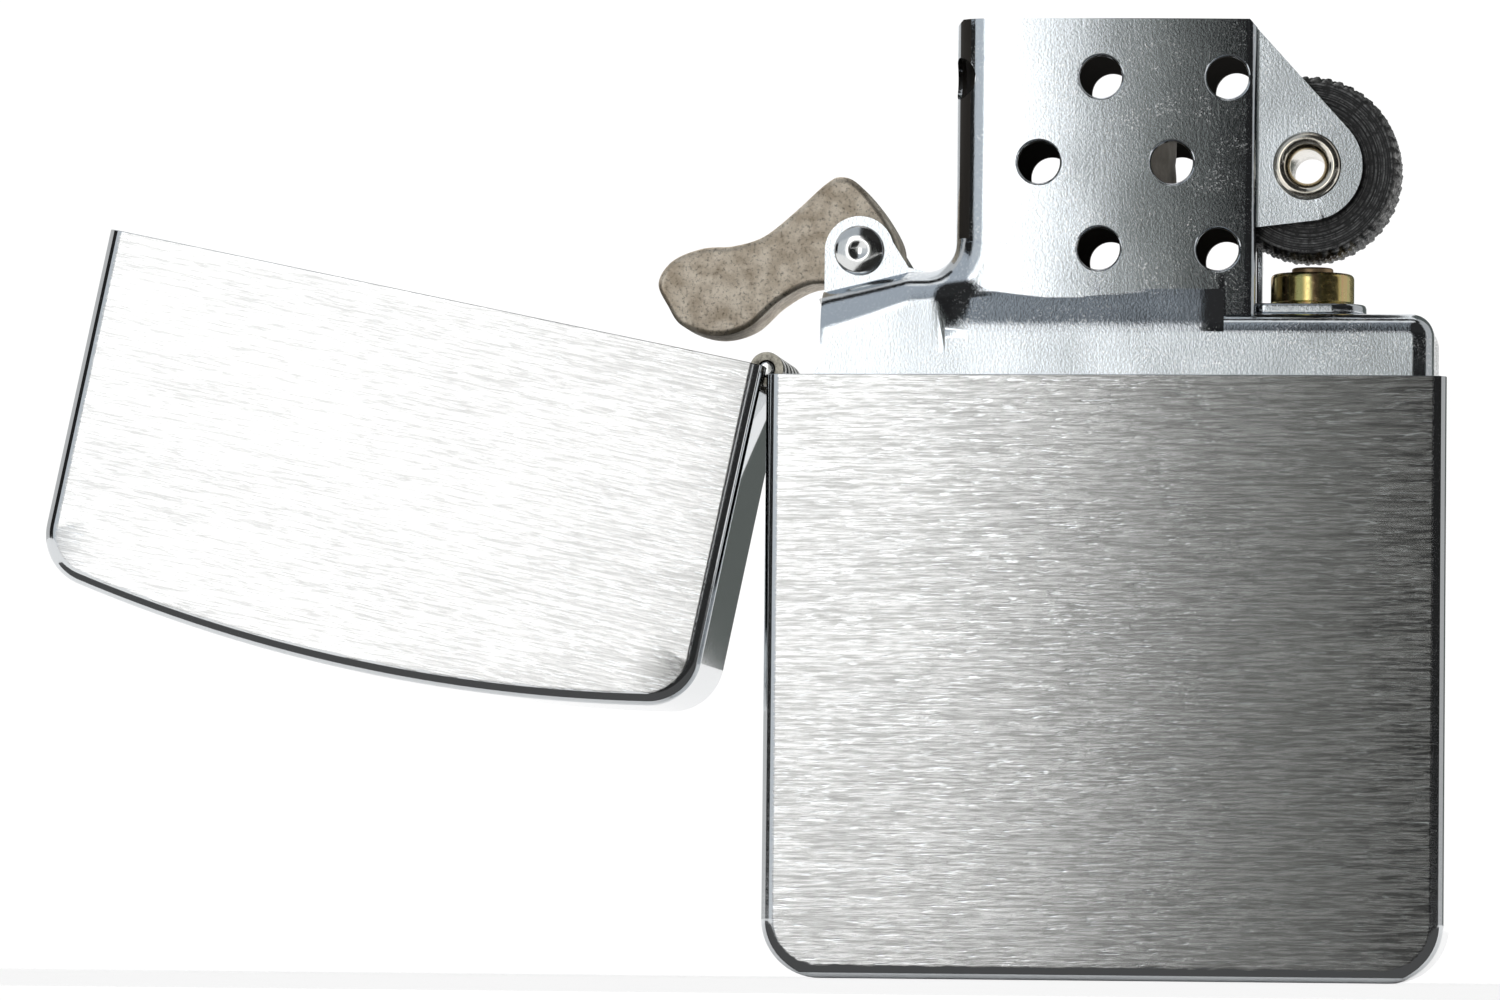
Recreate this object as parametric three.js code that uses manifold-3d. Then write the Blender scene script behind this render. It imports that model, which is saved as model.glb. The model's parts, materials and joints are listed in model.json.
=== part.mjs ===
// A flip-top windproof pocket lighter, in millimetres, +Z up.
// The origin is the centre of the case's flat base. X runs along the width, Y from front to back.
// It stands with its lid swung open to the left of the insert.
import * as THREE from 'three';
import { mergeVertices } from 'three/addons/utils/BufferGeometryUtils.js';
import Module from 'manifold-3d';

const wasm = await Module();
wasm.setup();

const degrees = Math.PI / 180;

// Outer case
const CASE_HALF_WIDTH = 19.05;
const CASE_DEPTH = 12.7;
const WALL = 0.45;
const CASE_RIM = 33.8;
const PARTING_GAP = 0.25;
const LID_RIM = CASE_RIM + PARTING_GAP;
const CLOSED_HEIGHT = 55.6;
const BASE_CORNER = 3.3;
const LID_CORNER = 3;
const CROWN_RADIUS = 90;
const EDGE_ROUND = 0.8;
const TRIM = 3; // extra length that a later cut takes away
const BEYOND = 30; // half size of a cutting solid, past every face

// Lid hinge
const HINGE_X = -19.1;
const HINGE_Z = 34.15;
const LID_OPEN_ANGLE = 168.4 * degrees;
const BARREL_LENGTH = 10;
const KNUCKLES = 5;
const KNUCKLE_GAP = 0.2;
const KNUCKLE_RADIUS = 0.95;
const KNUCKLE_BORE = 0.5;
const PIN_RADIUS = 0.42;
const BARREL_CLEARANCE = 0.25;
const LEAF_THICKNESS = 0.35;
const LEAF_INSET = 0.05;
const LEAF_HEIGHT = 8;

// Insert
const SHEET = 0.45;
const TANK_LEFT = -17.95;
const TANK_RIGHT = 18.3;
const TANK_BASE = 0.8;
const TANK_DEPTH = 11.2;
const TANK_EDGE = 1.2;
const DECK = 37.35;
const SLOT_FLOOR = 33.9;
const SHELF = 33.1;
const SLOT_END = -10.5;
const SHOULDER_LEFT = -16.03;
const SADDLE = 39.75;
const EAR_OUTER = 3.4;
const CAM_EAR_INNER = EAR_OUTER - 0.55;

// Chimney
const CHIMNEY_LEFT = -8.6;
const CHIMNEY_RIGHT = 8.3;
const CHIMNEY_TOP = 53.9;
const CHIMNEY_HALF_DEPTH = 5.2;
const CHIMNEY_LEFT_ROUND = 1.8;
const CHIMNEY_RIGHT_ROUND = 0.6;
const HOLE_RADIUS = 1.18;
const VENT_HOLES = [
  [-0.4, 50.6], [6.7, 50.6],
  [-3.85, 45.8], [3.6, 45.8],
  [-0.45, 40.95], [6.2, 40.95],
];
const CORNER_HOLE_Z = 50.6;
const CORNER_HOLE_ANGLE = 55 * degrees;

// Striker wheel
const AXLE_X = 11.1;
const AXLE_Z = 45.75;
const WHEEL_RADIUS = 5.2;
const WHEEL_HALF_WIDTH = 2.5;
const WHEEL_CHAMFER = 0.35;
const WHEEL_EAR_RADIUS = 3.1;
const AXLE_RADIUS = 1.3;
const AXLE_BORE = 0.95;
const BUSH_RADIUS = 1.75;
const FIT_GAP = 0.08;

// Flint tube and what it holds
const TUBE_X = 11.3;
const TUBE_RADIUS = 1.75;
const TUBE_BORE = 1.32;
const TUBE_TOP = 39.9;
const TUBE_BASE = 3.2;
const COLLAR_RADIUS = 2.35;
const COLLAR_BASE = 38.2;
const PLATE_LEFT = 6.9;
const PLATE_RIGHT = 14.35;
const PLATE_HALF_DEPTH = 2.7;
const PLATE_THICKNESS = 0.65;
const FLINT_RADIUS = 1.17;
const FLINT_TOP = 40.25;
const FLINT_LENGTH = 4.5;
const PLUNGER_LENGTH = 2.4;
const SPRING_BASE = 7.6;
const SPRING_TURNS = 11;
const SPRING_WIRE = 0.2;
const SPRING_COIL = 0.85;
const SCREW_HEAD_BASE = TANK_BASE + 0.4;
const SCREW_HEAD_HEIGHT = 1.2;
const SCREW_HEAD_RADIUS = 2.3;

// Cam
const CAM_X = -14.08;
const CAM_Z = 40.95;
const CAM_HALF_WIDTH = 2.5;
const CAM_EDGE = 0.35;
const CAM_EAR_RADIUS = 1.95;
const CAM_RIVET_RADIUS = 0.85;
const CAM_RIVET_HEAD = 1.4;
const CAM_SPRING_THICKNESS = 0.25;
const CAM_SPRING_HALF_WIDTH = 2.2;
const CAM_SPRING_RIVET_X = -12.2;

// Wick and tank filling
const WICK_X = 3.4;
const WICK_RADIUS = 1.45;
const WICK_TOP = 49.6;
const PACKING_LAYERS = 4;
const PACKING_BASE = 4.3;
const PACKING_TOP = 32.3;
const FELT_BASE = 2.5;
const FELT_TOP = 4;
const PAD_HALF_DEPTH = 4.7;
const WIRE_TURNS = 2;
const WIRE_RADIUS = 0.14;

const FINISHES = {
  chrome: { color: 0xc9cbcc, roughness: 0.28, metalness: 1 },
  stainless: { color: 0xbfc3c6, roughness: 0.2, metalness: 1 },
  darkSteel: { color: 0x3b3b3c, roughness: 0.45, metalness: 1 },
  tumbledSteel: { color: 0xb9aa9b, roughness: 0.55, metalness: 1 },
  brass: { color: 0xb9a04f, roughness: 0.3, metalness: 1 },
  copper: { color: 0xb0673f, roughness: 0.35, metalness: 1 },
  flint: { color: 0x8a6f55, roughness: 0.7, metalness: 0.3 },
  cotton: { color: 0xe4dfd2, roughness: 0.95, metalness: 0 },
  felt: { color: 0xcfc9bb, roughness: 0.98, metalness: 0 },
};

// ---- Solids -------------------------------------------------------------------------------

function solid(geometry) {
  const bare = geometry.clone();
  bare.deleteAttribute('normal');
  bare.deleteAttribute('uv');
  const merged = mergeVertices(bare, 1e-4);
  return new wasm.Manifold(new wasm.Mesh({
    numProp: 3,
    vertProperties: Float32Array.from(merged.attributes.position.array),
    triVerts: Uint32Array.from(merged.index.array),
  }));
}

function union(solids) {
  return solids.reduce((whole, piece) => whole.add(piece));
}

function arc(centreX, centreZ, radius, from, to, steps) {
  return Array.from({ length: steps + 1 }, (_, step) => {
    const angle = from + (to - from) * step / steps;
    return new THREE.Vector2(centreX + radius * Math.cos(angle), centreZ + radius * Math.sin(angle));
  });
}

function corners(...pairs) {
  return pairs.map(([x, z]) => new THREE.Vector2(x, z));
}

function roundedRectangle(left, low, right, high, radius, steps = 5) {
  return [
    ...arc(right - radius, low + radius, radius, -90 * degrees, 0, steps),
    ...arc(right - radius, high - radius, radius, 0, 90 * degrees, steps),
    ...arc(left + radius, high - radius, radius, 90 * degrees, 180 * degrees, steps),
    ...arc(left + radius, low + radius, radius, 180 * degrees, 270 * degrees, steps),
  ];
}

// A front-view outline in X and Z, given its thickness along Y, with its front and back edges rounded.
function roundedSlab(outline, depth, edge, edgeSteps = 3) {
  const geometry = new THREE.ExtrudeGeometry(new THREE.Shape(outline), {
    depth: depth - 2 * edge,
    bevelEnabled: true,
    bevelThickness: edge,
    bevelSize: edge,
    bevelOffset: -edge,
    bevelSegments: edgeSteps,
  });
  geometry.rotateX(90 * degrees);
  geometry.translate(0, depth / 2 - edge, 0);
  return solid(geometry);
}

// A front-view outline in X and Z, running from the plane y = front to the plane y = back.
function frontPlate(outline, front, back) {
  const extent = { depth: back - front, bevelEnabled: false };
  const geometry = new THREE.ExtrudeGeometry(new THREE.Shape(outline), extent);
  geometry.rotateX(90 * degrees);
  geometry.translate(0, back, 0);
  return solid(geometry);
}

// A side-view outline in Y and Z, running from the plane x = left to the plane x = right.
function sidePlate(outline, left, right) {
  const extent = { depth: right - left, bevelEnabled: false };
  const geometry = new THREE.ExtrudeGeometry(new THREE.Shape(outline), extent);
  geometry.rotateX(90 * degrees);
  geometry.rotateZ(90 * degrees);
  geometry.translate(left, 0, 0);
  return solid(geometry);
}

// A plan outline in X and Y, with holes, running from the level low to the level high.
function column(outline, low, high, holes = []) {
  const shape = new THREE.Shape(outline);
  shape.holes = holes.map((hole) => new THREE.Path(hole));
  const geometry = new THREE.ExtrudeGeometry(shape, { depth: high - low, bevelEnabled: false });
  geometry.translate(0, 0, low);
  return solid(geometry);
}

function box(left, right, front, back, low, high) {
  const geometry = new THREE.BoxGeometry(right - left, back - front, high - low);
  geometry.translate((left + right) / 2, (front + back) / 2, (low + high) / 2);
  return solid(geometry);
}

// A round bar along Y, centred on y = middle.
function barAlongY(radius, length, x, z, middle = 0, sides = 32) {
  const geometry = new THREE.CylinderGeometry(radius, radius, length, sides);
  geometry.translate(x, middle, z);
  return solid(geometry);
}

// A profile of [radius, height] pairs, closed on itself or on the axis, turned about an upright axis.
function turnedUpright(profile, x, sides = 32) {
  const geometry = new THREE.LatheGeometry(corners(...profile, profile[0]), sides);
  geometry.rotateX(90 * degrees);
  geometry.translate(x, 0, 0);
  return solid(geometry);
}

// The same, turned about an axis along Y; the height is then the distance along Y.
function turnedAcross(profile, x, z, sides = 32) {
  const geometry = new THREE.LatheGeometry(corners(...profile, profile[0]), sides);
  geometry.translate(x, 0, z);
  return solid(geometry);
}

function part(name, shape, finish) {
  const { numProp, vertProperties, triVerts } = shape.getMesh();
  const geometry = new THREE.BufferGeometry();
  geometry.setAttribute('position', new THREE.BufferAttribute(Float32Array.from(vertProperties), numProp));
  geometry.setIndex(new THREE.BufferAttribute(Uint32Array.from(triVerts), 1));
  geometry.computeVertexNormals();
  const mesh = new THREE.Mesh(geometry, new THREE.MeshStandardMaterial(FINISHES[finish]));
  mesh.name = name;
  return mesh;
}

// ---- Outer case ---------------------------------------------------------------------------

function caseOutline(inset) {
  const side = CASE_HALF_WIDTH - inset;
  const radius = BASE_CORNER - inset;
  const steps = 8;
  return [
    new THREE.Vector2(-side, CASE_RIM + TRIM),
    ...arc(-side + radius, BASE_CORNER, radius, 180 * degrees, 270 * degrees, steps),
    ...arc(side - radius, BASE_CORNER, radius, 270 * degrees, 360 * degrees, steps),
    new THREE.Vector2(side, CASE_RIM + TRIM),
  ];
}

// The crown is a shallow arc that runs into a rounded corner at each side.
function lidOutline(inset) {
  const side = CASE_HALF_WIDTH - inset;
  const radius = LID_CORNER - inset;
  const crownRadius = CROWN_RADIUS - inset;
  const crownCentre = CLOSED_HEIGHT - CROWN_RADIUS;
  const cornerX = side - radius;
  const cornerRise = Math.sqrt((crownRadius - radius) ** 2 - cornerX ** 2);
  const spread = Math.atan2(cornerX, cornerRise);
  const upright = 90 * degrees;
  return [
    new THREE.Vector2(side, LID_RIM - TRIM),
    ...arc(cornerX, crownCentre + cornerRise, radius, 0, upright - spread, 8),
    ...arc(0, crownCentre, crownRadius, upright - spread, upright + spread, 14).slice(1, -1),
    ...arc(-cornerX, crownCentre + cornerRise, radius, upright + spread, 180 * degrees, 8),
    new THREE.Vector2(-side, LID_RIM - TRIM),
  ];
}

function thinWalled(outlineAt) {
  const outside = roundedSlab(outlineAt(0), CASE_DEPTH, EDGE_ROUND, 4);
  const inside = roundedSlab(outlineAt(WALL), CASE_DEPTH - 2 * WALL, EDGE_ROUND - WALL, 2);
  return outside.subtract(inside);
}

function hingeRelief() {
  return barAlongY(KNUCKLE_RADIUS + BARREL_CLEARANCE, BARREL_LENGTH + 2 * BARREL_CLEARANCE, HINGE_X, HINGE_Z);
}

function caseShell() {
  const above = box(-BEYOND, BEYOND, -BEYOND, BEYOND, CASE_RIM, CASE_RIM + 2 * TRIM);
  return thinWalled(caseOutline).subtract(above).subtract(hingeRelief());
}

function lidShell() {
  const below = box(-BEYOND, BEYOND, -BEYOND, BEYOND, LID_RIM - 2 * TRIM, LID_RIM);
  return thinWalled(lidOutline).subtract(below).subtract(hingeRelief());
}

// ---- Hinge --------------------------------------------------------------------------------

const KNUCKLE_PITCH = (BARREL_LENGTH + KNUCKLE_GAP) / KNUCKLES;
const KNUCKLE_LENGTH = KNUCKLE_PITCH - KNUCKLE_GAP;

function knuckleMiddle(index) {
  return (index - (KNUCKLES - 1) / 2) * KNUCKLE_PITCH;
}

// A leaf lies flat inside its wall and carries every other knuckle.
// up is 1 for the lid's leaf and -1 for the case's.
function hingeLeaf(firstKnuckle, up) {
  const wallFace = -CASE_HALF_WIDTH + WALL + LEAF_INSET;
  const ends = [HINGE_Z, HINGE_Z + up * LEAF_HEIGHT].sort((a, b) => a - b);
  const half = BARREL_LENGTH / 2;
  let leaf = box(wallFace, wallFace + LEAF_THICKNESS, -half, half, ends[0], ends[1]);
  for (let index = 1 - firstKnuckle; index < KNUCKLES; index += 2) {
    const gapRadius = KNUCKLE_RADIUS + BARREL_CLEARANCE;
    const gapLength = KNUCKLE_LENGTH + 2 * KNUCKLE_GAP;
    leaf = leaf.subtract(barAlongY(gapRadius, gapLength, HINGE_X, HINGE_Z, knuckleMiddle(index)));
  }
  for (let index = firstKnuckle; index < KNUCKLES; index += 2) {
    leaf = leaf.add(barAlongY(KNUCKLE_RADIUS, KNUCKLE_LENGTH, HINGE_X, HINGE_Z, knuckleMiddle(index)));
  }
  return leaf.subtract(barAlongY(KNUCKLE_BORE, BARREL_LENGTH + 1, HINGE_X, HINGE_Z, 0, 24));
}

function hingePin() {
  return barAlongY(PIN_RADIUS, BARREL_LENGTH + 0.1, HINGE_X, HINGE_Z, 0, 24);
}

// ---- Insert -------------------------------------------------------------------------------

function mirroredInY(points) {
  return [...points, ...points.map((point) => new THREE.Vector2(-point.x, point.y)).reverse()];
}

function tank() {
  const deckCorner = 1.3;
  const slack = 1;
  const flare = SHOULDER_LEFT - TANK_LEFT;
  const outside = roundedSlab(
    roundedRectangle(TANK_LEFT, TANK_BASE - TRIM, TANK_RIGHT, DECK, deckCorner), TANK_DEPTH, TANK_EDGE);
  // The open lower end has its corners rounded to follow the case's.
  const bounds = frontPlate(
    roundedRectangle(TANK_LEFT - slack, TANK_BASE, TANK_RIGHT + slack, DECK + TRIM, BASE_CORNER + slack, 8),
    -BEYOND, BEYOND);
  // The left end stops low and flares up into the cam's two cheeks.
  const leftEnd = frontPlate([
    ...corners([-BEYOND, 2 * BEYOND], [-BEYOND, SHELF], [TANK_LEFT + 0.3, SHELF]),
    ...arc(TANK_LEFT, SHELF + flare, flare, -80 * degrees, 0, 5),
    ...corners([SHOULDER_LEFT, 2 * BEYOND]),
  ], -BEYOND, BEYOND);
  return outside.intersect(bounds).subtract(leftEnd);
}

// The sheet leans in from each face of the tank to the plane of the ears, left of the chimney.
function shoulder() {
  const face = -TANK_DEPTH / 2;
  const outline = mirroredInY(corners(
    [face, SLOT_FLOOR - 1], [face, 35.9], [face + 0.2, 36.6], [face + 0.65, 37.4],
    [-EAR_OUTER, SADDLE - 0.35], [-EAR_OUTER, SADDLE]));
  return sidePlate(outline, SHOULDER_LEFT, CHIMNEY_LEFT + SHEET / 2);
}

function camSlot() {
  const face = -TANK_DEPTH / 2 + SHEET;
  const outline = mirroredInY(corners(
    [face, SLOT_FLOOR], [face, 35.8], [face + 0.65, 37.2],
    [-CAM_EAR_INNER, SADDLE - 0.55], [-CAM_EAR_INNER, 2 * BEYOND]));
  return sidePlate(outline, -BEYOND, SLOT_END);
}

function camEars() {
  const root = SADDLE - 1.75;
  const outline = [
    ...corners([SLOT_END + 0.3, root], [SLOT_END + 0.3, SADDLE], [-11.3, SADDLE + 0.25]),
    ...arc(CAM_X, CAM_Z, CAM_EAR_RADIUS, 15 * degrees, 180 * degrees, 12),
    ...corners([SHOULDER_LEFT, root]),
  ];
  return frontPlate(outline, -EAR_OUTER, -CAM_EAR_INNER).add(frontPlate(outline, CAM_EAR_INNER, EAR_OUTER));
}

// A rounded web where the chimney's closed side meets the saddle between the ears.
function chimneyFoot() {
  const radius = 1.6;
  const right = CHIMNEY_LEFT + SHEET / 2;
  return frontPlate([
    ...corners([right, SADDLE - 1], [right, SADDLE + radius]),
    ...arc(CHIMNEY_LEFT - radius, SADDLE + radius, radius, 0, -90 * degrees, 6),
    ...corners([CHIMNEY_LEFT - radius, SADDLE - 1]),
  ], -EAR_OUTER, EAR_OUTER);
}

// The chimney is one bent sheet, closed at the left.
// At the right it steps in and runs on as the wheel's ears.
function chimneySheet() {
  const earEnd = CASE_HALF_WIDTH;
  const halfPath = (inset) => {
    const y = -CHIMNEY_HALF_DEPTH + inset;
    const left = CHIMNEY_LEFT + inset;
    const right = CHIMNEY_RIGHT - inset;
    const leftRound = CHIMNEY_LEFT_ROUND - inset;
    const rightRound = CHIMNEY_RIGHT_ROUND - inset;
    return [
      new THREE.Vector2(earEnd, -EAR_OUTER + inset),
      new THREE.Vector2(right, -EAR_OUTER + inset),
      ...arc(right - rightRound, y + rightRound, rightRound, 0, -90 * degrees, 4),
      ...arc(left + leftRound, y + leftRound, leftRound, 270 * degrees, 180 * degrees, 8),
    ];
  };
  const outer = halfPath(0);
  const inner = halfPath(SHEET);
  const acrossX = (point) => new THREE.Vector2(point.x, -point.y);
  const outline = [
    ...outer, ...outer.map(acrossX).reverse(),
    ...inner.map(acrossX), ...[...inner].reverse(),
  ];
  return column(outline.reverse(), DECK - 1, CHIMNEY_TOP);
}

function chimneyTrim() {
  const cornerRound = 0.4;
  const cornerX = CHIMNEY_LEFT + cornerRound;
  return frontPlate([
    ...corners([CHIMNEY_LEFT, DECK - 1], [CHIMNEY_RIGHT, DECK - 1], [CHIMNEY_RIGHT, AXLE_Z - 3.45]),
    ...arc(AXLE_X, AXLE_Z, WHEEL_EAR_RADIUS, -80 * degrees, 42 * degrees, 14),
    ...corners([CHIMNEY_RIGHT + 0.25, CHIMNEY_TOP - 0.7], [CHIMNEY_RIGHT - 0.4, CHIMNEY_TOP]),
    ...arc(cornerX, CHIMNEY_TOP - cornerRound, cornerRound, 90 * degrees, 180 * degrees, 3),
  ], -BEYOND, BEYOND);
}

function ventHoles() {
  const straight = VENT_HOLES.map(([x, z]) => barAlongY(HOLE_RADIUS, 2 * CASE_DEPTH, x, z, 0, 24));
  const slanting = [-1, 1].map((side) => {
    const geometry = new THREE.CylinderGeometry(HOLE_RADIUS, HOLE_RADIUS, 4, 24);
    geometry.translate(0, CHIMNEY_LEFT_ROUND, 0);
    geometry.rotateZ(CORNER_HOLE_ANGLE);
    if (side < 0) geometry.rotateX(180 * degrees);
    const y = side * (CHIMNEY_HALF_DEPTH - CHIMNEY_LEFT_ROUND);
    geometry.translate(CHIMNEY_LEFT + CHIMNEY_LEFT_ROUND, y, CORNER_HOLE_Z);
    return solid(geometry);
  });
  return union([...straight, ...slanting]);
}

function tankHollow() {
  const round = 0.8;
  const below = TANK_BASE - 2 * TRIM;
  const wide = roundedRectangle(SLOT_END + SHEET, below, TANK_RIGHT - SHEET, DECK - SHEET, round);
  const low = roundedRectangle(TANK_LEFT + SHEET, below, 0, SHELF - SHEET, round);
  const [whole, underSlot] = [wide, low].map((outline) => (
    roundedSlab(outline, TANK_DEPTH - 2 * SHEET, TANK_EDGE - SHEET, 2)));
  return whole.add(underSlot);
}

function insertShell() {
  const chimney = chimneySheet().intersect(chimneyTrim()).subtract(ventHoles());
  const body = union([tank(), shoulder(), camEars(), chimneyFoot()]);
  const bores = [
    barAlongY(AXLE_RADIUS + FIT_GAP, CASE_DEPTH, AXLE_X, AXLE_Z),
    barAlongY(CAM_RIVET_RADIUS + FIT_GAP, CASE_DEPTH, CAM_X, CAM_Z, 0, 24),
    uprightBar(WICK_RADIUS + 0.2, WICK_X, DECK - 2, DECK + 2),
    uprightBar(TUBE_RADIUS + FIT_GAP, TUBE_X, DECK - 2, DECK + 2),
    springRivetBore(),
  ];
  return body.subtract(camSlot()).subtract(tankHollow()).add(chimney).subtract(union(bores));
}

function uprightBar(radius, x, low, high, sides = 32) {
  return turnedUpright([[0, low], [radius, low], [radius, high], [0, high]], x, sides);
}

// ---- Striker wheel ------------------------------------------------------------------------

function strikerWheel() {
  const half = WHEEL_HALF_WIDTH;
  const bore = BUSH_RADIUS + FIT_GAP;
  return turnedAcross([
    [bore, -half], [WHEEL_RADIUS - WHEEL_CHAMFER, -half], [WHEEL_RADIUS, -half + WHEEL_CHAMFER],
    [WHEEL_RADIUS, half - WHEEL_CHAMFER], [WHEEL_RADIUS - WHEEL_CHAMFER, half], [bore, half],
  ], AXLE_X, AXLE_Z, 60);
}

function wheelBush() {
  const half = EAR_OUTER - SHEET - 0.1;
  const bore = AXLE_RADIUS + FIT_GAP;
  const wall = [[bore, -half], [BUSH_RADIUS, -half], [BUSH_RADIUS, half], [bore, half]];
  return turnedAcross(wall, AXLE_X, AXLE_Z);
}

// A hollow rivet: a thin tube with a rolled flange against the outside of each ear.
function wheelRivet() {
  const seat = EAR_OUTER + 0.05;
  const crest = seat + 0.42;
  const rolled = [
    [AXLE_RADIUS, seat], [1.9, seat], [1.92, seat + 0.15],
    [1.75, crest - 0.08], [1.5, crest], [1.2, crest - 0.1],
  ];
  const lowEnd = rolled.map(([radius, along]) => [radius, -along]).reverse();
  return turnedAcross([[AXLE_BORE, -seat], ...lowEnd, ...rolled, [AXLE_BORE, seat]], AXLE_X, AXLE_Z);
}

// ---- Flint tube ---------------------------------------------------------------------------

function tubePlate() {
  const top = COLLAR_BASE - 0.1;
  const outline = roundedRectangle(PLATE_LEFT, -PLATE_HALF_DEPTH, PLATE_RIGHT, PLATE_HALF_DEPTH, 1.4, 4);
  const hole = arc(TUBE_X, 0, TUBE_RADIUS + FIT_GAP, 360 * degrees, 0, 24).slice(1);
  return column(outline, top - PLATE_THICKNESS, top, [hole]);
}

function tubeCollar() {
  const bore = TUBE_RADIUS + FIT_GAP;
  const round = 0.25;
  return turnedUpright([
    [bore, COLLAR_BASE], [COLLAR_RADIUS, COLLAR_BASE], [COLLAR_RADIUS, TUBE_TOP - round],
    [COLLAR_RADIUS - 0.07, TUBE_TOP - 0.07], [COLLAR_RADIUS - round, TUBE_TOP], [bore, TUBE_TOP],
  ], TUBE_X, 40);
}

function flintTube() {
  return turnedUpright([
    [TUBE_BORE, TUBE_BASE], [TUBE_RADIUS, TUBE_BASE], [TUBE_RADIUS, TUBE_TOP], [TUBE_BORE, TUBE_TOP],
  ], TUBE_X, 28);
}

function flint() {
  return uprightBar(FLINT_RADIUS, TUBE_X, FLINT_TOP - FLINT_LENGTH, FLINT_TOP, 28);
}

const PLUNGER_TOP = FLINT_TOP - FLINT_LENGTH - 0.1;
const PLUNGER_BASE = PLUNGER_TOP - PLUNGER_LENGTH;

// A small brass pin with a wide head that pushes on the flint.
function flintPlunger() {
  return turnedUpright([
    [0, PLUNGER_BASE], [0.5, PLUNGER_BASE], [0.5, PLUNGER_TOP - 0.8], [1.15, PLUNGER_TOP - 0.8],
    [1.15, PLUNGER_TOP], [0, PLUNGER_TOP],
  ], TUBE_X, 20);
}

function flintSpring() {
  const top = PLUNGER_TOP - 0.8 - SPRING_WIRE - 0.1;
  class Coil extends THREE.Curve {
    getPoint(t, target = new THREE.Vector3()) {
      const turn = t * SPRING_TURNS * 2 * Math.PI;
      const z = SPRING_BASE + SPRING_WIRE + t * (top - SPRING_BASE - SPRING_WIRE);
      return target.set(TUBE_X + SPRING_COIL * Math.cos(turn), SPRING_COIL * Math.sin(turn), z);
    }
  }
  const wire = new THREE.Shape(arc(0, 0, SPRING_WIRE, 0, 360 * degrees, 5).slice(1));
  return solid(new THREE.ExtrudeGeometry(wire, { steps: SPRING_TURNS * 9, extrudePath: new Coil() }));
}

function springScrew() {
  const headTop = SCREW_HEAD_BASE + SCREW_HEAD_HEIGHT;
  const shank = TUBE_BORE - FIT_GAP;
  const screw = turnedUpright([
    [0, SCREW_HEAD_BASE], [SCREW_HEAD_RADIUS, SCREW_HEAD_BASE],
    [SCREW_HEAD_RADIUS, headTop], [shank, headTop],
    [shank, SPRING_BASE - 0.3], [0, SPRING_BASE - 0.3],
  ], TUBE_X, 28);
  const reach = SCREW_HEAD_RADIUS + 1;
  const slotTop = SCREW_HEAD_BASE + 0.6;
  const slot = box(TUBE_X - reach, TUBE_X + reach, -0.35, 0.35, SCREW_HEAD_BASE - 1, slotTop);
  return screw.subtract(slot);
}

// ---- Cam ----------------------------------------------------------------------------------

// The cam's nose reaches left over the lid's edge; its hump stands above the pivot.
function cam() {
  const outline = new THREE.Shape();
  outline.moveTo(-15.25, 45.22);
  outline.splineThru(corners(
    [-16.15, 44.8], [-17.9, 43.2], [-19.6, 41.85], [-21.3, 41.3], [-23.1, 41.15], [-24.8, 40.45],
    [-25.6, 39.2], [-25.05, 37.9], [-24.2, 36.75], [-22.3, 36.2], [-20.4, 36.7], [-18.8, 38.1],
    [-17.1, 39.05], [-15.4, 39.1], [-14.0, 38.75], [-12.4, 39.4], [-11.9, 41.1], [-12.7, 42.9],
    [-14.2, 44.75]));
  outline.closePath();
  const body = roundedSlab(outline.getPoints(4), 2 * CAM_HALF_WIDTH, CAM_EDGE, 2);
  return body.subtract(barAlongY(CAM_RIVET_RADIUS + FIT_GAP, CASE_DEPTH, CAM_X, CAM_Z, 0, 24));
}

function camRivet() {
  const seat = EAR_OUTER + 0.05;
  const dome = [
    [CAM_RIVET_RADIUS, seat], [CAM_RIVET_HEAD, seat], [CAM_RIVET_HEAD - 0.05, seat + 0.25],
    [CAM_RIVET_HEAD - 0.35, seat + 0.5], [0.55, seat + 0.6], [0.25, seat + 0.5], [0, seat + 0.45],
  ];
  const farDome = dome.map(([radius, along]) => [radius, -along]).reverse();
  return turnedAcross([...farDome, ...dome], CAM_X, CAM_Z, 28);
}

// A leaf spring riveted to the slot's floor, its free end turned up under the cam.
function camSpring() {
  const flat = SLOT_FLOOR + CAM_SPRING_THICKNESS;
  const rise = [
    [-10.9, flat], [-13.6, flat], [-14.9, flat + 0.75], [-15.8, flat + 2.25], [-16.45, flat + 4.15],
  ];
  const back = rise.map(([x, z], index) => (
    index < 2 ? [x, z + CAM_SPRING_THICKNESS] : [x + CAM_SPRING_THICKNESS, z + 0.1]));
  const outline = corners(...rise, ...back.reverse()).reverse();
  return frontPlate(outline, -CAM_SPRING_HALF_WIDTH, CAM_SPRING_HALF_WIDTH).subtract(springRivetBore());
}

function springRivetBore() {
  return uprightBar(0.6, CAM_SPRING_RIVET_X, SLOT_FLOOR - 2, SLOT_FLOOR + 2, 16);
}

function springRivet() {
  const low = SLOT_FLOOR - 1.55;
  const head = SLOT_FLOOR + 2 * CAM_SPRING_THICKNESS + 0.1;
  return turnedUpright([
    [0, low], [0.5, low], [0.5, head], [0.95, head], [0.9, head + 0.3], [0, head + 0.45],
  ], CAM_SPRING_RIVET_X, 16);
}

// ---- Wick and filling ---------------------------------------------------------------------

function wick() {
  return uprightBar(WICK_RADIUS, WICK_X, PACKING_BASE, WICK_TOP, 24);
}

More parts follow.
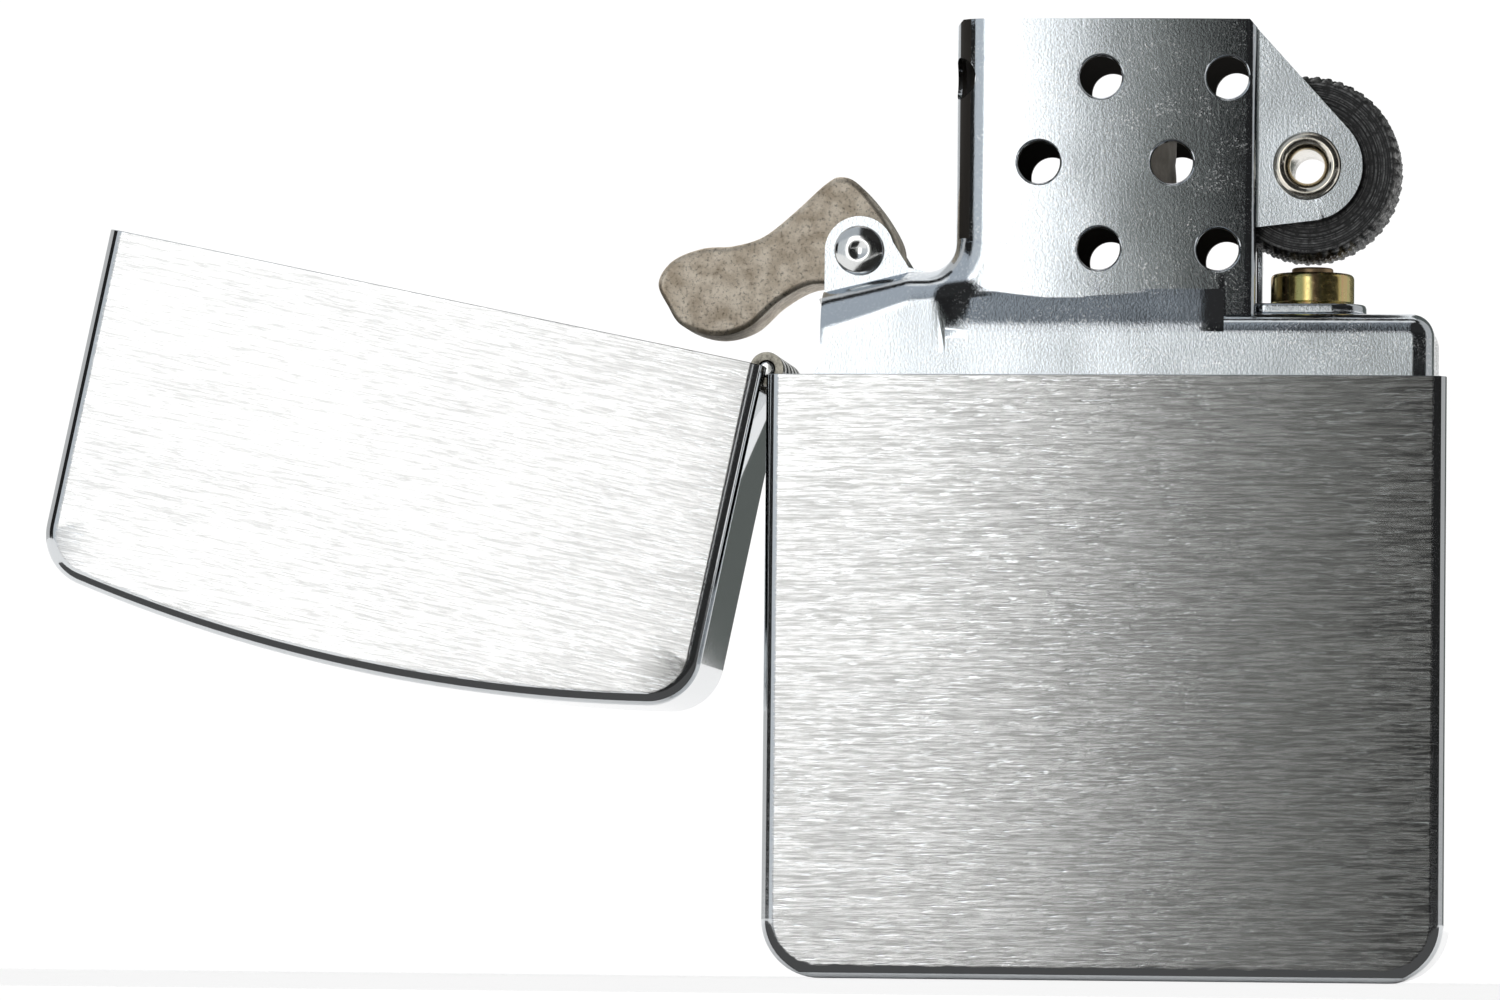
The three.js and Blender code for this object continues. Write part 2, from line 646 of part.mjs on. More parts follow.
// The copper strand that stiffens the wick winds up its outside.
function wickWire() {
  const windRadius = WICK_RADIUS + WIRE_RADIUS + FIT_GAP;
  const low = DECK + 0.6;
  class Winding extends THREE.Curve {
    getPoint(t, target = new THREE.Vector3()) {
      const turn = t * WIRE_TURNS * 2 * Math.PI;
      const z = low + t * (WICK_TOP - low);
      return target.set(WICK_X + windRadius * Math.cos(turn), windRadius * Math.sin(turn), z);
    }
  }
  const wire = new THREE.Shape(arc(0, 0, WIRE_RADIUS, 0, 360 * degrees, 6).slice(1));
  return solid(new THREE.ExtrudeGeometry(wire, { steps: 36, extrudePath: new Winding() }));
}

function padOutline() {
  const left = TANK_LEFT + SHEET + 0.3;
  const right = TANK_RIGHT - SHEET - 0.3;
  return roundedRectangle(left, -PAD_HALF_DEPTH, right, PAD_HALF_DEPTH, 1, 3);
}

function roundHole(x, radius) {
  return arc(x, 0, radius, 360 * degrees, 0, 20).slice(1);
}

function packingLayer(index) {
  const pitch = (PACKING_TOP - PACKING_BASE) / PACKING_LAYERS;
  const low = PACKING_BASE + index * pitch;
  const holes = [roundHole(WICK_X, WICK_RADIUS + 0.2), roundHole(TUBE_X, TUBE_RADIUS + 0.2)];
  return column(padOutline(), low, low + pitch - 0.3, holes);
}

function feltPad() {
  const fillHole = roundHole(-12, 0.8);
  return column(padOutline(), FELT_BASE, FELT_TOP, [roundHole(TUBE_X, SCREW_HEAD_RADIUS + 0.3), fillHole]);
}

// ---- Assembly -----------------------------------------------------------------------------

const lighter = new THREE.Group();

lighter.add(
  part('case_shell', caseShell(), 'chrome'),
  part('case_hinge_leaf', hingeLeaf(0, -1), 'chrome'),
  part('hinge_pin', hingePin(), 'stainless'),
  part('insert_shell', insertShell(), 'stainless'),
  part('wheel_rivet', wheelRivet(), 'stainless'),
  part('wheel_bush', wheelBush(), 'stainless'),
  part('striker_wheel', strikerWheel(), 'darkSteel'),
  part('flint_tube_plate', tubePlate(), 'stainless'),
  part('tube_collar', tubeCollar(), 'brass'),
  part('flint_tube', flintTube(), 'brass'),
  part('flint', flint(), 'flint'),
  part('flint_plunger', flintPlunger(), 'brass'),
  part('flint_spring', flintSpring(), 'stainless'),
  part('spring_screw', springScrew(), 'brass'),
  part('cam', cam(), 'tumbledSteel'),
  part('cam_rivet', camRivet(), 'stainless'),
  part('cam_spring', camSpring(), 'stainless'),
  part('cam_spring_rivet', springRivet(), 'stainless'),
  part('wick', wick(), 'cotton'),
  part('wick_wire', wickWire(), 'copper'),
  part('felt_pad', feltPad(), 'felt'),
);

for (let layer = 0; layer < PACKING_LAYERS; layer += 1) {
  lighter.add(part(`packing_${layer + 1}`, packingLayer(layer), 'cotton'));
}

// The lid is made closed, about the hinge, and then swung open.
const lid = new THREE.Group();
for (const [name, shape] of [['lid_shell', lidShell()], ['lid_hinge_leaf', hingeLeaf(1, 1)]]) {
  const mesh = part(name, shape, 'chrome');
  mesh.position.set(-HINGE_X, 0, -HINGE_Z);
  lid.add(mesh);
}
lid.position.set(HINGE_X, 0, HINGE_Z);
lid.rotation.y = -LID_OPEN_ANGLE;
lighter.add(lid);

export default lighter;
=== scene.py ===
import json
import math

import bmesh
import bpy
import numpy as np
from mathutils import Euler, Matrix, Vector

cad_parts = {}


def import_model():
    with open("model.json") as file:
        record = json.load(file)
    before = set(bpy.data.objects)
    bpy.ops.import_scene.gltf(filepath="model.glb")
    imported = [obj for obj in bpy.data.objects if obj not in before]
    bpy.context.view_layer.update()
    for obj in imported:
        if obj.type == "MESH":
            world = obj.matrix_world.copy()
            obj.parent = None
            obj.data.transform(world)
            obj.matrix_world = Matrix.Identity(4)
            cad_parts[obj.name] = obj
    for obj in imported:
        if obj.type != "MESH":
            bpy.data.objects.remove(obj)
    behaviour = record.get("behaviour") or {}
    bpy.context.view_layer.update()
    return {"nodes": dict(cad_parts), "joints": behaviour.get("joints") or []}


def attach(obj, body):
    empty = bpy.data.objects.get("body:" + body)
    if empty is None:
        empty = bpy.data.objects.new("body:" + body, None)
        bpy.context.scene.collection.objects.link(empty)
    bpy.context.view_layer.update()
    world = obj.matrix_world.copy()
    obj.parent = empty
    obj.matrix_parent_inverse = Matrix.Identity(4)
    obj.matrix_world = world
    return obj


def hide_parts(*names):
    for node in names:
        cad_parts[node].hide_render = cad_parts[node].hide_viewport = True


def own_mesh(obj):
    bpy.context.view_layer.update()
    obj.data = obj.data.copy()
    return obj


# A flip-top windproof lighter, lid open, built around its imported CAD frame.
# The object's lengths are millimetres until MM turns them into Blender's metres. The studio's are metres.

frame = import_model()

MM = 0.001
Y_AXIS, Z_AXIS = "Y", "Z"

# Outer case and lid
HALF_WIDTH = 19.05
DEPTH = 12.7
WALL = 0.45
CASE_RIM = 33.8
LID_RIM = 34.05
CLOSED_HEIGHT = 55.6
BASE_CORNER = 3.3
LID_CORNER = 3.0
CROWN_RADIUS = 90.0
EDGE = 0.8
BEYOND = 3.0
CASE_SAG, LID_SAG = 0.2, 0.02

# How far the cutters reach past everything, along X, Y and Z
PAST_SIDE, PAST_FRONT, PAST_TOP = 40, 20, 80
# How far the bores across Y are cut each way, and the heights that the tube plate's hole is cut between
BORE_REACH = 8
PLATE_HOLE = (30, 45)

# Hinge
HINGE = (-19.1, 0.0, 34.15)
OPEN_ANGLE = next(j["range_deg"][1] for j in frame["joints"] if j["name"] == "lid_hinge")
BARREL = 10.0
KNUCKLES = 5
KNUCKLE_GAP = 0.2
KNUCKLE_RADIUS = 0.95
KNUCKLE_BORE = 0.5
PIN_RADIUS = 0.42
BARREL_CLEARANCE = 0.25
LEAF = 0.35
LEAF_GAP = 0.05
LEAF_HEIGHT = 8.0

# Insert
SHEET = 0.45
TANK_LEFT, TANK_RIGHT = -17.95, 18.3
TANK_BASE = 0.8
TANK_HALF_DEPTH = 5.6
TANK_EDGE = 1.2
TANK_CORNER, TANK_INNER_CORNER = 1.3, 0.8
SHOULDER_CUT = 35.05
DECK = 37.35
SHELF = 33.1
SLOT_FLOOR = 33.9
SLOT_END = -10.5
SHOULDER_LEFT = -16.03
SADDLE = 39.75
EAR_FACE = 3.4
EAR_FOOT = 38.6
EAR_RISE = 4.8
EAR_ROUND = 2.6
CAM_EAR_INNER = 2.85
APRON_TOP, APRON_LOW = 38.7, 36.0
APRON_LEFT, APRON_RIGHT = -9.0, 6.6

# Chimney and its wheel ears
CHIMNEY_LEFT, CHIMNEY_RIGHT = -8.6, 8.3
CHIMNEY_TOP = 53.9
CHIMNEY_FACE = 5.2
LEFT_ROUND, RIGHT_ROUND = 1.8, 0.6
CHIMNEY_SAG = 0.3
CHIMNEY_CROWN = -2.4
FOOT_ROUND = 1.6
HOLE_RADIUS = 1.18
VENT_HOLES = [(-0.4, 50.6), (6.7, 50.6), (-3.85, 45.8), (3.6, 45.8), (-0.45, 40.95), (6.2, 40.95)]
CORNER_HOLE_Z = 50.6
CORNER_HOLE_Y = 3.1
CORNER_HOLE_ANGLE = 55.0

# The section of a vent hole's rim: how much wider than the hole, and how far out of the chimney's face
HOLE_RIM = [(0.0, -3.0), (0.0, -0.16), (0.045, -0.07), (0.54, 0.296)]

# Striker wheel on its eyelet
AXLE = (11.1, 0.0, 45.75)
WHEEL_RADIUS = 5.2
WHEEL_HALF = 2.5
WHEEL_CHAMFER = 0.35
WHEEL_BORE = 1.83
WHEEL_EAR_RADIUS = 3.1
WHEEL_EAR_DROP = 3.45
TEETH = 48
TOOTH_DEPTH = 0.3
TOOTH_SLANT = 1.6
EYELET_BARREL, EYELET_BORE = 1.3, 0.95
RIVET_SEAT = EAR_FACE + 0.03

# Flint tube
TUBE_X = 11.3
TUBE_TOP = 39.9
TUBE_FIT = 1.83
COLLAR_RADIUS = 2.35
COLLAR_BASE = 38.2
PLATE_LEFT, PLATE_RIGHT, PLATE_HALF, PLATE_BASE, PLATE_TOP = 6.9, 14.35, 2.7, 37.45, 38.1
FLINT_RADIUS, FLINT_TOP, FLINT_BASE = 1.17, 40.25, 35.75
COIL_RADIUS, COIL_WIRE, COIL_TURNS, COIL_LOW, COIL_HIGH = 0.85, 0.2, 11, 7.85, 34.5

# Cam
CAM = (-14.08, 0.0, 40.95)
CAM_HALF = 2.5
CAM_EDGE = 0.35
CAM_EAR_RADIUS = 1.95
CAM_BORE = 0.93
CAM_HEAD = 1.4

# Wick
WICK_X = 3.4
WICK_RADIUS = 1.4
WICK_LOW, WICK_TOP = 4.4, 49.4
WICK_LEAN = 1.2
WICK_WIRE = 0.13
SINGED_FROM = 42.5

# Camera
CAMERA_PLACE = (0.03424, -0.5, 0.0001)
CAMERA_PITCH_ROLL_YAW = 0.05349, 0.01028, 0.10905
CAMERA_LENS = 213.09


# ---- Mesh making ----

def arc(centre_x, centre_z, radius, start, end, steps):
    angles = np.radians(np.linspace(start, end, steps + 1))
    return [(centre_x + radius * math.cos(a), centre_z + radius * math.sin(a)) for a in angles]


def between(start, end, steps):
    """The points that split a straight stretch into equal steps, without its two ends."""
    return [tuple(np.array(start) + (np.array(end) - start) * i / steps) for i in range(1, steps)]


def rounded_rectangle(left, low, right, high, radius, steps=8):
    return [
        *arc(right - radius, low + radius, radius, -90, 0, steps),
        *arc(right - radius, high - radius, radius, 0, 90, steps),
        *arc(left + radius, high - radius, radius, 90, 180, steps),
        *arc(left + radius, low + radius, radius, 180, 270, steps),
    ]


def inset(loop, distance):
    """An anticlockwise loop moved inwards by a distance."""
    points = np.array(loop, float)
    before = points - np.roll(points, 1, axis=0)
    after = np.roll(points, -1, axis=0) - points
    inward = [np.stack([-d[:, 1], d[:, 0]], 1) / np.linalg.norm(d, axis=1)[:, None] for d in (before, after)]
    middle = inward[0] + inward[1]
    middle /= np.linalg.norm(middle, axis=1)[:, None]
    return points + middle * distance / np.sum(middle * inward[0], axis=1)[:, None]


def loft(name, rings, looped=False):
    """A closed mesh through rings of equal numbers of points, looped on itself or capped at both ends."""
    rings = np.array(rings, float)
    count, sides = rings.shape[:2]
    faces = []
    for ring in range(count if looped else count - 1):
        following = (ring + 1) % count
        for side in range(sides):
            beside = (side + 1) % sides
            faces.append((ring * sides + side, ring * sides + beside,
                          following * sides + beside, following * sides + side))
    if not looped:
        faces.append(tuple(range(sides)))
        faces.append(tuple(range((count - 1) * sides, count * sides)))
    mesh = bpy.data.meshes.new(name)
    mesh.from_pydata((rings.reshape(-1, 3) * MM).tolist(), [], faces)
    return outward(new_object(name, mesh))


def new_object(name, data):
    made = bpy.data.objects.new(name, data)
    bpy.context.scene.collection.objects.link(made)
    return made


def outward(made):
    work = bmesh.new()
    work.from_mesh(made.data)
    bmesh.ops.recalc_face_normals(work, faces=work.faces)
    work.to_mesh(made.data)
    work.free()
    return made


def front_view(loop, y):
    return np.array([(x, y, z) for x, z in loop])


def plate(name, loop, front, back):
    """A front-view outline in X and Z, from one Y to another."""
    return loft(name, [front_view(loop, front), front_view(loop, back)])


def edge_steps(edge, steps):
    """(inset, setback) pairs round a quarter circle, from a face's border out to the side."""
    angles = np.linspace(0, math.pi / 2, steps + 1)
    return [(edge * (1 - math.sin(a)), edge * (1 - math.cos(a))) for a in angles]


def rounded_end(radius, high, edge, steps):
    """(radius, height) points from the side of a round bar over its rounded edge to its end."""
    return [(radius - step_in, high - setback) for step_in, setback in reversed(edge_steps(edge, steps))]


def slab(name, loop, depth, edge, steps=8, face_rings=0, sag=0.0):
    """A front-view outline given a thickness, with rounded edges and, where sag is given, crowned faces."""
    half = []
    face = inset(loop, edge)
    middle = (face.min(0) + face.max(0)) / 2
    for ring in range(face_rings, 0, -1):
        half.append((middle + (face - middle) * (1 - ring / (face_rings + 1)), -depth / 2))
    for step_in, setback in edge_steps(edge, steps):
        half.append((inset(loop, step_in), -depth / 2 + setback))
    rings = [front_view(points, y) for points, y in half]
    rings += [front_view(points, -y) for points, y in reversed(half)]
    for ring in rings:
        ring[:, 1] *= 1 - 2 * sag / depth * (ring[:, 0] / HALF_WIDTH) ** 2
    return loft(name, rings)


def turned(name, profile, centre, axis, sides=96, looped=False):
    """A profile of (radius, distance along the axis) turned about it; the centre is the object's origin."""
    angles = np.linspace(0, 2 * math.pi, sides, endpoint=False)
    rings = []
    for radius, along in profile:
        across, up = radius * np.cos(angles), radius * np.sin(angles)
        level = np.full(sides, along)
        rings.append(np.stack([across, level, up] if axis == Y_AXIS else [across, up, level], 1))
    made = loft(name, rings, looped)
    made.location = Vector(centre) * MM
    return made


def bar(name, radius, low, high, centre, axis, sides):
    return turned(name, [(radius, low), (radius, high)], centre, axis, sides)


def block(name, low, high):
    corners = [(low[0], low[1]), (high[0], low[1]), (high[0], high[1]), (low[0], high[1])]
    return loft(name, [[(x, y, z) for x, y in corners] for z in (low[2], high[2])])


def wire(name, runs, radius, resolution=2):
    """Round wires with closed ends, one along each run of points."""
    curve = bpy.data.curves.new(name, "CURVE")
    curve.dimensions = "3D"
    curve.bevel_depth = radius * MM
    curve.bevel_resolution = resolution
    curve.use_fill_caps = True
    for run in runs:
        spline = curve.splines.new("POLY")
        spline.points.add(len(run) - 1)
        for point, place in zip(spline.points, run):
            point.co = (*(Vector(place) * MM), 1)
    return applied(new_object(name, curve))


def applied(made):
    """The object as a plain mesh with its modifiers applied."""
    bpy.context.view_layer.update()
    graph = bpy.context.evaluated_depsgraph_get()
    mesh = bpy.data.meshes.new_from_object(made.evaluated_get(graph), depsgraph=graph)
    if made.type == "MESH":
        made.modifiers.clear()
        made.data = mesh
        return made
    name, place = made.name, made.matrix_world.copy()
    bpy.data.objects.remove(made)
    plain = new_object(name, mesh)
    plain.matrix_world = place
    return plain


def combine(made, others, operation):
    for other in others:
        step = made.modifiers.new("combine", "BOOLEAN")
        step.operation = operation
        step.solver = "EXACT"
        step.object = other
        made = applied(made)
        bpy.data.objects.remove(other)
    return made


def cut(made, *others):
    return combine(made, others, "DIFFERENCE")


def join(made, *others):
    return combine(made, others, "UNION")


def keep_inside(made, *others):
    return combine(made, others, "INTERSECT")


def soften(made, width=0.0, limit=40, segments=3, smooth=35):
    """Rounds the sharp edges, then shades smooth between the ones that stay sharp."""
    if width:
        work = bmesh.new()
        work.from_mesh(made.data)
        bmesh.ops.remove_doubles(work, verts=work.verts, dist=0.002 * MM)
        work.to_mesh(made.data)
        work.free()
        rounding = made.modifiers.new("edges", "BEVEL")
        rounding.width = width * MM
        rounding.segments = segments
        rounding.limit_method = "ANGLE"
        rounding.angle_limit = math.radians(limit)
        made = applied(made)
    made.data.polygons.foreach_set("use_smooth", [True] * len(made.data.polygons))
    made.data.set_sharp_from_angle(angle=math.radians(smooth))
    weights = made.modifiers.new("normals", "WEIGHTED_NORMAL")
    weights.keep_sharp = True
    return made


# ---- Materials ----

class Finish:
    """A node material: its helpers add a node, fill its inputs and return its first output."""

    def __init__(self, name, **shader):
        self.material = bpy.data.materials.new(name)
        self.material.use_nodes = True
        self.nodes = self.material.node_tree.nodes
        self.shader = self.nodes["Principled BSDF"]
        for socket, value in shader.items():
            self.shader.inputs[socket.replace("_", " ")].default_value = value

    def add(self, kind, inputs=(), output=0, **settings):
        node = self.nodes.new("ShaderNode" + kind)
        for setting, value in settings.items():
            setattr(node, setting, value)
        for socket, value in dict(inputs).items():
            self.feed(node.inputs[socket], value)
        return node.outputs[output]

    def feed(self, socket, value):
        if isinstance(value, bpy.types.NodeSocket):
            self.material.node_tree.links.new(value, socket)
        else:
            socket.default_value = value

    def set(self, socket, value):
        self.feed(self.shader.inputs[socket], value)

    def finished(self, color, rough, normal):
        self.set("Base Color", color)
        self.set("Roughness", rough)
        self.set("Normal", normal)
        return self.material

    def place(self, scale=(1, 1, 1)):
        """The object's own coordinates in metres, stretched by a scale."""
        spot = self.add("TexCoord", output="Object")
        return self.add("Mapping", {"Vector": spot, "Scale": scale})

    def noise(self, scale, detail, roughness=0.55):
        """Noise between 0 and 1, with about scale features a metre along each axis."""
        spot = self.place(scale if hasattr(scale, "__len__") else (scale,) * 3)
        return self.add("TexNoise", {"Vector": spot, "Scale": 1.0, "Detail": detail, "Roughness": roughness})

    def math(self, operation, first, second=0.0):
        return self.add("Math", {0: first, 1: second}, operation=operation)

    def times(self, first, second):
        return self.math("MULTIPLY", first, second)

    def remap(self, value, low, high, new_low=0.0, new_high=1.0):
        return self.add("MapRange", {"Value": value, "From Min": low, "From Max": high,
                                     "To Min": new_low, "To Max": new_high})

    def mix(self, share, first, second):
        return self.add("Mix", {0: share, 6: first, 7: second}, output=2, data_type="RGBA")

    def blend(self, share, first, second):
        return self.add("Mix", {0: share, 2: first, 3: second}, output=0, data_type="FLOAT")

    def bump(self, height, distance, under=None):
        """distance is the height in millimetres that the texture's range stands for."""
        inputs = {"Height": height, "Distance": distance * MM, "Strength": 1.0}
        if under is not None:
            inputs["Normal"] = under
        return self.add("Bump", inputs)

    def along(self, vector, axis):
        return self.add("SeparateXYZ", {"Vector": vector}, output=axis)

    def facing(self, axis):
        """How far the surface faces along one of its own axes, from 0 to 1."""
        normal = self.add("TexCoord", output="Normal")
        return self.math("ABSOLUTE", self.along(normal, axis))

    def grain_along(self, direction):
        """Turns the anisotropic highlight to spread along one of the object's own axes."""
        turned_to_world = self.add("VectorTransform", {"Vector": direction}, vector_type="VECTOR",
                                   convert_from="OBJECT", convert_to="WORLD")
        self.set("Tangent", turned_to_world)


def rgb(red, green, blue):
    return (red, green, blue, 1.0)


def brushed_chrome(name, streak_tone, painted_reflection=False):
    """Faces brushed along X; the rounded edges between them are polished."""
    made = Finish(name, Metallic=1.0, Anisotropic=0.95)
    fine = made.noise((900, 3000, 13000), 3, 0.6)
    long = made.noise((330, 2000, 8000), 3, 0.6)
    cloud = made.noise((110, 110, 260), 2)
    ragged = made.noise((900, 900, 7000), 2)
    border = made.math("ADD", made.facing("Y"), made.times(ragged, 0.05))
    brushed = made.remap(border, 1.012, 1.022)
    streak = made.times(fine, long)
    tone = made.mix(made.remap(streak, 0.17, 0.33), rgb(*streak_tone), rgb(0.96, 0.96, 0.95))
    # Painted dark reflection: the colour darkens towards the top right corner and along the right edge.
    if painted_reflection:
        tone = made.mix(painted_dark_reflection(made), tone, rgb(0.16, 0.16, 0.16))
    color = made.mix(brushed, rgb(0.7, 0.72, 0.735), tone)
    rough = made.blend(cloud, 0.22, 0.28)
    rough = made.blend(brushed, made.remap(fine, 0.3, 0.8, 0.03, 0.09), rough)
    height = made.math("ADD", made.times(fine, 0.6), made.times(long, 0.8))
    made.grain_along((0.0, 0.0, 1.0))
    return made.finished(color, rough, made.bump(made.times(height, brushed), 0.005))


def painted_dark_reflection(made):
    """A painted dark reflection over the top right corner and the right edge of the case: ragged dark
    streaks.
    """
    reflection_left, reflection_right = 9.5 * MM, 18.5 * MM
    reflection_low, reflection_high = 20 * MM, 34 * MM
    spot = made.place()
    x, z = (made.along(spot, axis) for axis in "XZ")
    edge = made.remap(x, reflection_left, reflection_right)
    high = made.remap(z, reflection_low, reflection_high)
    streaks = made.remap(made.noise((420, 900, 6500), 4, 0.65), 0.5, 0.58)
    ragged = made.times(made.times(edge, streaks), 0.85)
    # The painted reflection also darkens the colour smoothly towards the top right corner.
    corner = made.times(made.times(edge, high), 0.35)
    return made.math("MAXIMUM", ragged, corner)


def scuffed_sheet(name, sooty=False):
    """Bright drawn steel sheet: fine upright drawing marks, flecks and a slow waviness."""
    made = Finish(name, Metallic=1.0)
    drawn = made.noise((9000, 9000, 700), 3, 0.6)
    fleck = made.noise(6800, 4, 0.7)
    patch = made.noise(420, 3)
    wave = made.noise(150, 1)
    scuff = made.times(made.remap(fleck, 0.53, 0.64, 0.0, 0.9), made.remap(patch, 0.4, 0.62, 0.1))
    tone = made.mix(scuff, rgb(0.66, 0.7, 0.735), rgb(0.95, 0.96, 0.96))
    rough = made.blend(scuff, made.remap(drawn, 0.3, 0.75, 0.03, 0.09), 0.34)
    if sooty:
        soot = soot_inside(made)
        tone = made.mix(soot, tone, rgb(0.05, 0.045, 0.04))
        rough = made.blend(soot, rough, 0.6)
    slow = made.bump(wave, 0.05)
    marks = made.bump(drawn, 0.0012, under=slow)
    return made.finished(tone, rough, made.bump(fleck, 0.006, under=marks))


def soot_inside(made):
    """1 inside the chimney, up to the middle of its sheet, and 0 outside it."""
    spot = made.place()
    x, y, z = (made.along(spot, axis) for axis in "XYZ")
    off_crown = made.math("SUBTRACT", x, CHIMNEY_CROWN * MM)
    sag = made.times(made.times(off_crown, off_crown), CHIMNEY_SAG / CHIMNEY_RIGHT ** 2 / MM)
    depth = made.math("ADD", made.math("ABSOLUTE", y), sag)
    inside = made.math("LESS_THAN", depth, (CHIMNEY_FACE - SHEET / 2) * MM)
    by_wall = made.math("GREATER_THAN", x, (CHIMNEY_LEFT + SHEET / 2) * MM)
    over_foot = made.math("GREATER_THAN", z, (SADDLE + FOOT_ROUND + 0.2) * MM)
    off_foot = made.math("GREATER_THAN", x, (CHIMNEY_LEFT + LEFT_ROUND + 0.3) * MM)
    right_of_wall = made.math("MAXIMUM", off_foot, made.times(by_wall, over_foot))
    left_of_ears = made.math("LESS_THAN", x, (CHIMNEY_RIGHT - SHEET / 2) * MM)
    above = made.math("GREATER_THAN", z, (DECK - SHEET) * MM)
    wide = made.times(right_of_wall, left_of_ears)
    return made.times(made.times(inside, above), wide)


def bright_steel(name="bright_steel", color=(0.82, 0.83, 0.82), rough=0.12):
    made = Finish(name, Metallic=1.0)
    wear = made.noise(2600, 4, 0.7)
    return made.finished(made.mix(wear, rgb(*(0.85 * c for c in color)), rgb(*color)),
                         made.remap(wear, 0.3, 0.75, rough * 0.5, rough * 1.8),
                         made.bump(made.noise(6000, 3), 0.0008))


def blackened_hinge():
    """Plated leaf steel gone dark and slightly yellow in the folds of the barrel."""
    made = Finish("blackened_hinge", Metallic=1.0)
    stain = made.noise(1500, 4, 0.7)
    worn = made.remap(stain, 0.35, 0.65)
    return made.finished(made.mix(worn, rgb(0.05, 0.048, 0.04), rgb(0.42, 0.4, 0.34)),
                         made.remap(stain, 0.3, 0.7, 0.12, 0.3),
                         made.bump(made.noise((4000, 900, 4000), 3), 0.002))


def turned_dark_steel():
    """Hardened dark steel: concentric turning marks on the flat sides, worn light along the edges."""
    made = Finish("turned_dark_steel", Metallic=1.0)
    spot = made.add("TexCoord", output="Object")
    flat = made.add("VectorMath", {0: spot, 1: (1.0, 0.0, 1.0)}, operation="MULTIPLY")
    radius = made.add("VectorMath", {0: flat}, output="Value", operation="LENGTH")
    rings = made.add("TexNoise", {"W": radius, "Scale": 9000.0, "Detail": 3.0, "Roughness": 0.7},
                     noise_dimensions="1D")
    scuff = made.noise(2400, 5, 0.75)
    worn = made.times(made.remap(rings, 0.45, 0.75), made.remap(scuff, 0.42, 0.66))
    edge = made.remap(radius, (WHEEL_RADIUS - 0.6) * MM, WHEEL_RADIUS * MM, 0.0, 0.45)
    light = made.math("ADD", worn, made.times(edge, made.remap(scuff, 0.45, 0.65)))
    return made.finished(made.mix(light, rgb(0.045, 0.045, 0.045), rgb(0.6, 0.6, 0.59)),
                         made.remap(scuff, 0.3, 0.7, 0.34, 0.58),
                         made.bump(scuff, 0.012, under=made.bump(rings, 0.01)))


def tumbled_steel():
    """Warm grey tumbled steel, speckled and matt."""
    made = Finish("tumbled_steel", Metallic=1.0)
    grain = made.noise(5200, 4, 0.7)
    patch = made.noise(1100, 3)
    dark = made.times(made.remap(grain, 0.52, 0.68), 0.75)
    body = made.mix(made.remap(patch, 0.35, 0.65), rgb(0.6, 0.5, 0.38), rgb(0.92, 0.82, 0.68))
    return made.finished(made.mix(dark, body, rgb(0.2, 0.165, 0.13)),
                         made.remap(grain, 0.3, 0.7, 0.42, 0.6), made.bump(grain, 0.008))


def passivated_brass():
    """Yellow-passivated brass with green and violet bands round it."""
    made = Finish("passivated_brass", Metallic=1.0)
    bands = made.noise((900, 900, 60), 2)
    tint = made.add("ValToRGB", {"Fac": bands})
    ramp = tint.node.color_ramp
    ramp.elements[0].position = 0.36
    ramp.elements[0].color = rgb(0.42, 0.4, 0.16)
    ramp.elements[1].position = 0.66
    ramp.elements[1].color = rgb(0.62, 0.4, 0.3)
    for position, color in ((0.45, (0.83, 0.64, 0.25)), (0.52, (0.72, 0.66, 0.3)), (0.58, (0.85, 0.6, 0.3))):
        ramp.elements.new(position).color = rgb(*color)
    return made.finished(tint, made.remap(made.noise(3000, 4), 0.3, 0.7, 0.14, 0.3),
                         made.bump(made.noise((3000, 3000, 300), 3), 0.002))


def dull_metal(name, dark, light, rough, metal=1.0):
    made = Finish(name, Metallic=metal)
    speck = made.noise(3000, 4, 0.65)
    return made.finished(made.mix(speck, rgb(*dark), rgb(*light)),
                         made.remap(speck, 0.3, 0.7, rough * 0.8, rough * 1.2), made.bump(speck, 0.006))


def fibre(name, color, scale, singed=None):
    """Soft matt fibres; singed is the height above which they turn brown."""
    made = Finish(name, Roughness=0.95, Sheen_Weight=0.3)
    strand = made.noise(scale, 4, 0.7)
    body = made.mix(strand, rgb(*(0.62 * c for c in color)), rgb(*color))
    if singed:
        height = made.along(made.place(), "Z")
        burnt = made.times(made.remap(height, singed * MM, (singed + 1.6) * MM, 0.0, 0.9), strand)
        body = made.mix(burnt, body, rgb(0.1, 0.075, 0.05))
    made.set("Base Color", body)
    made.set("Normal", made.bump(strand, 0.08))
    return made.material


CHROME = brushed_chrome("brushed_chrome", (0.66, 0.66, 0.65))
# The case's copy has darker streaks and a painted dark reflection towards its top right corner and right
# edge.
CHROME_PAINTED_DARK = brushed_chrome("brushed_chrome_painted_dark", (0.55, 0.55, 0.535), painted_reflection=True)
STAINLESS = scuffed_sheet("scuffed_sheet")
SOOTY_STAINLESS = scuffed_sheet("sooty_sheet", sooty=True)
RIVET_STEEL = bright_steel()
EYELET_STEEL = bright_steel("eyelet_nickel", (0.84, 0.79, 0.69), 0.16)
HINGE_STEEL = blackened_hinge()
WHEEL_STEEL = turned_dark_steel()
CAM_STEEL = tumbled_steel()
BRASS = passivated_brass()
FLINT_METAL = dull_metal("flint_coat", (0.36, 0.24, 0.13), (0.55, 0.4, 0.24), 0.4, metal=0.8)
COPPER = dull_metal("bare_copper", (0.5, 0.22, 0.12), (0.8, 0.42, 0.27), 0.28)
SPRING_STEEL = dull_metal("spring_steel", (0.42, 0.42, 0.42), (0.7, 0.7, 0.69), 0.25)
WICK_COTTON = fibre("wick_cotton", (0.86, 0.82, 0.74), (3000, 3000, 1200), singed=SINGED_FROM)
BALL_COTTON = fibre("ball_cotton", (0.9, 0.88, 0.83), 1400)
FELT = fibre("pressed_felt", (0.8, 0.77, 0.7), 2600)


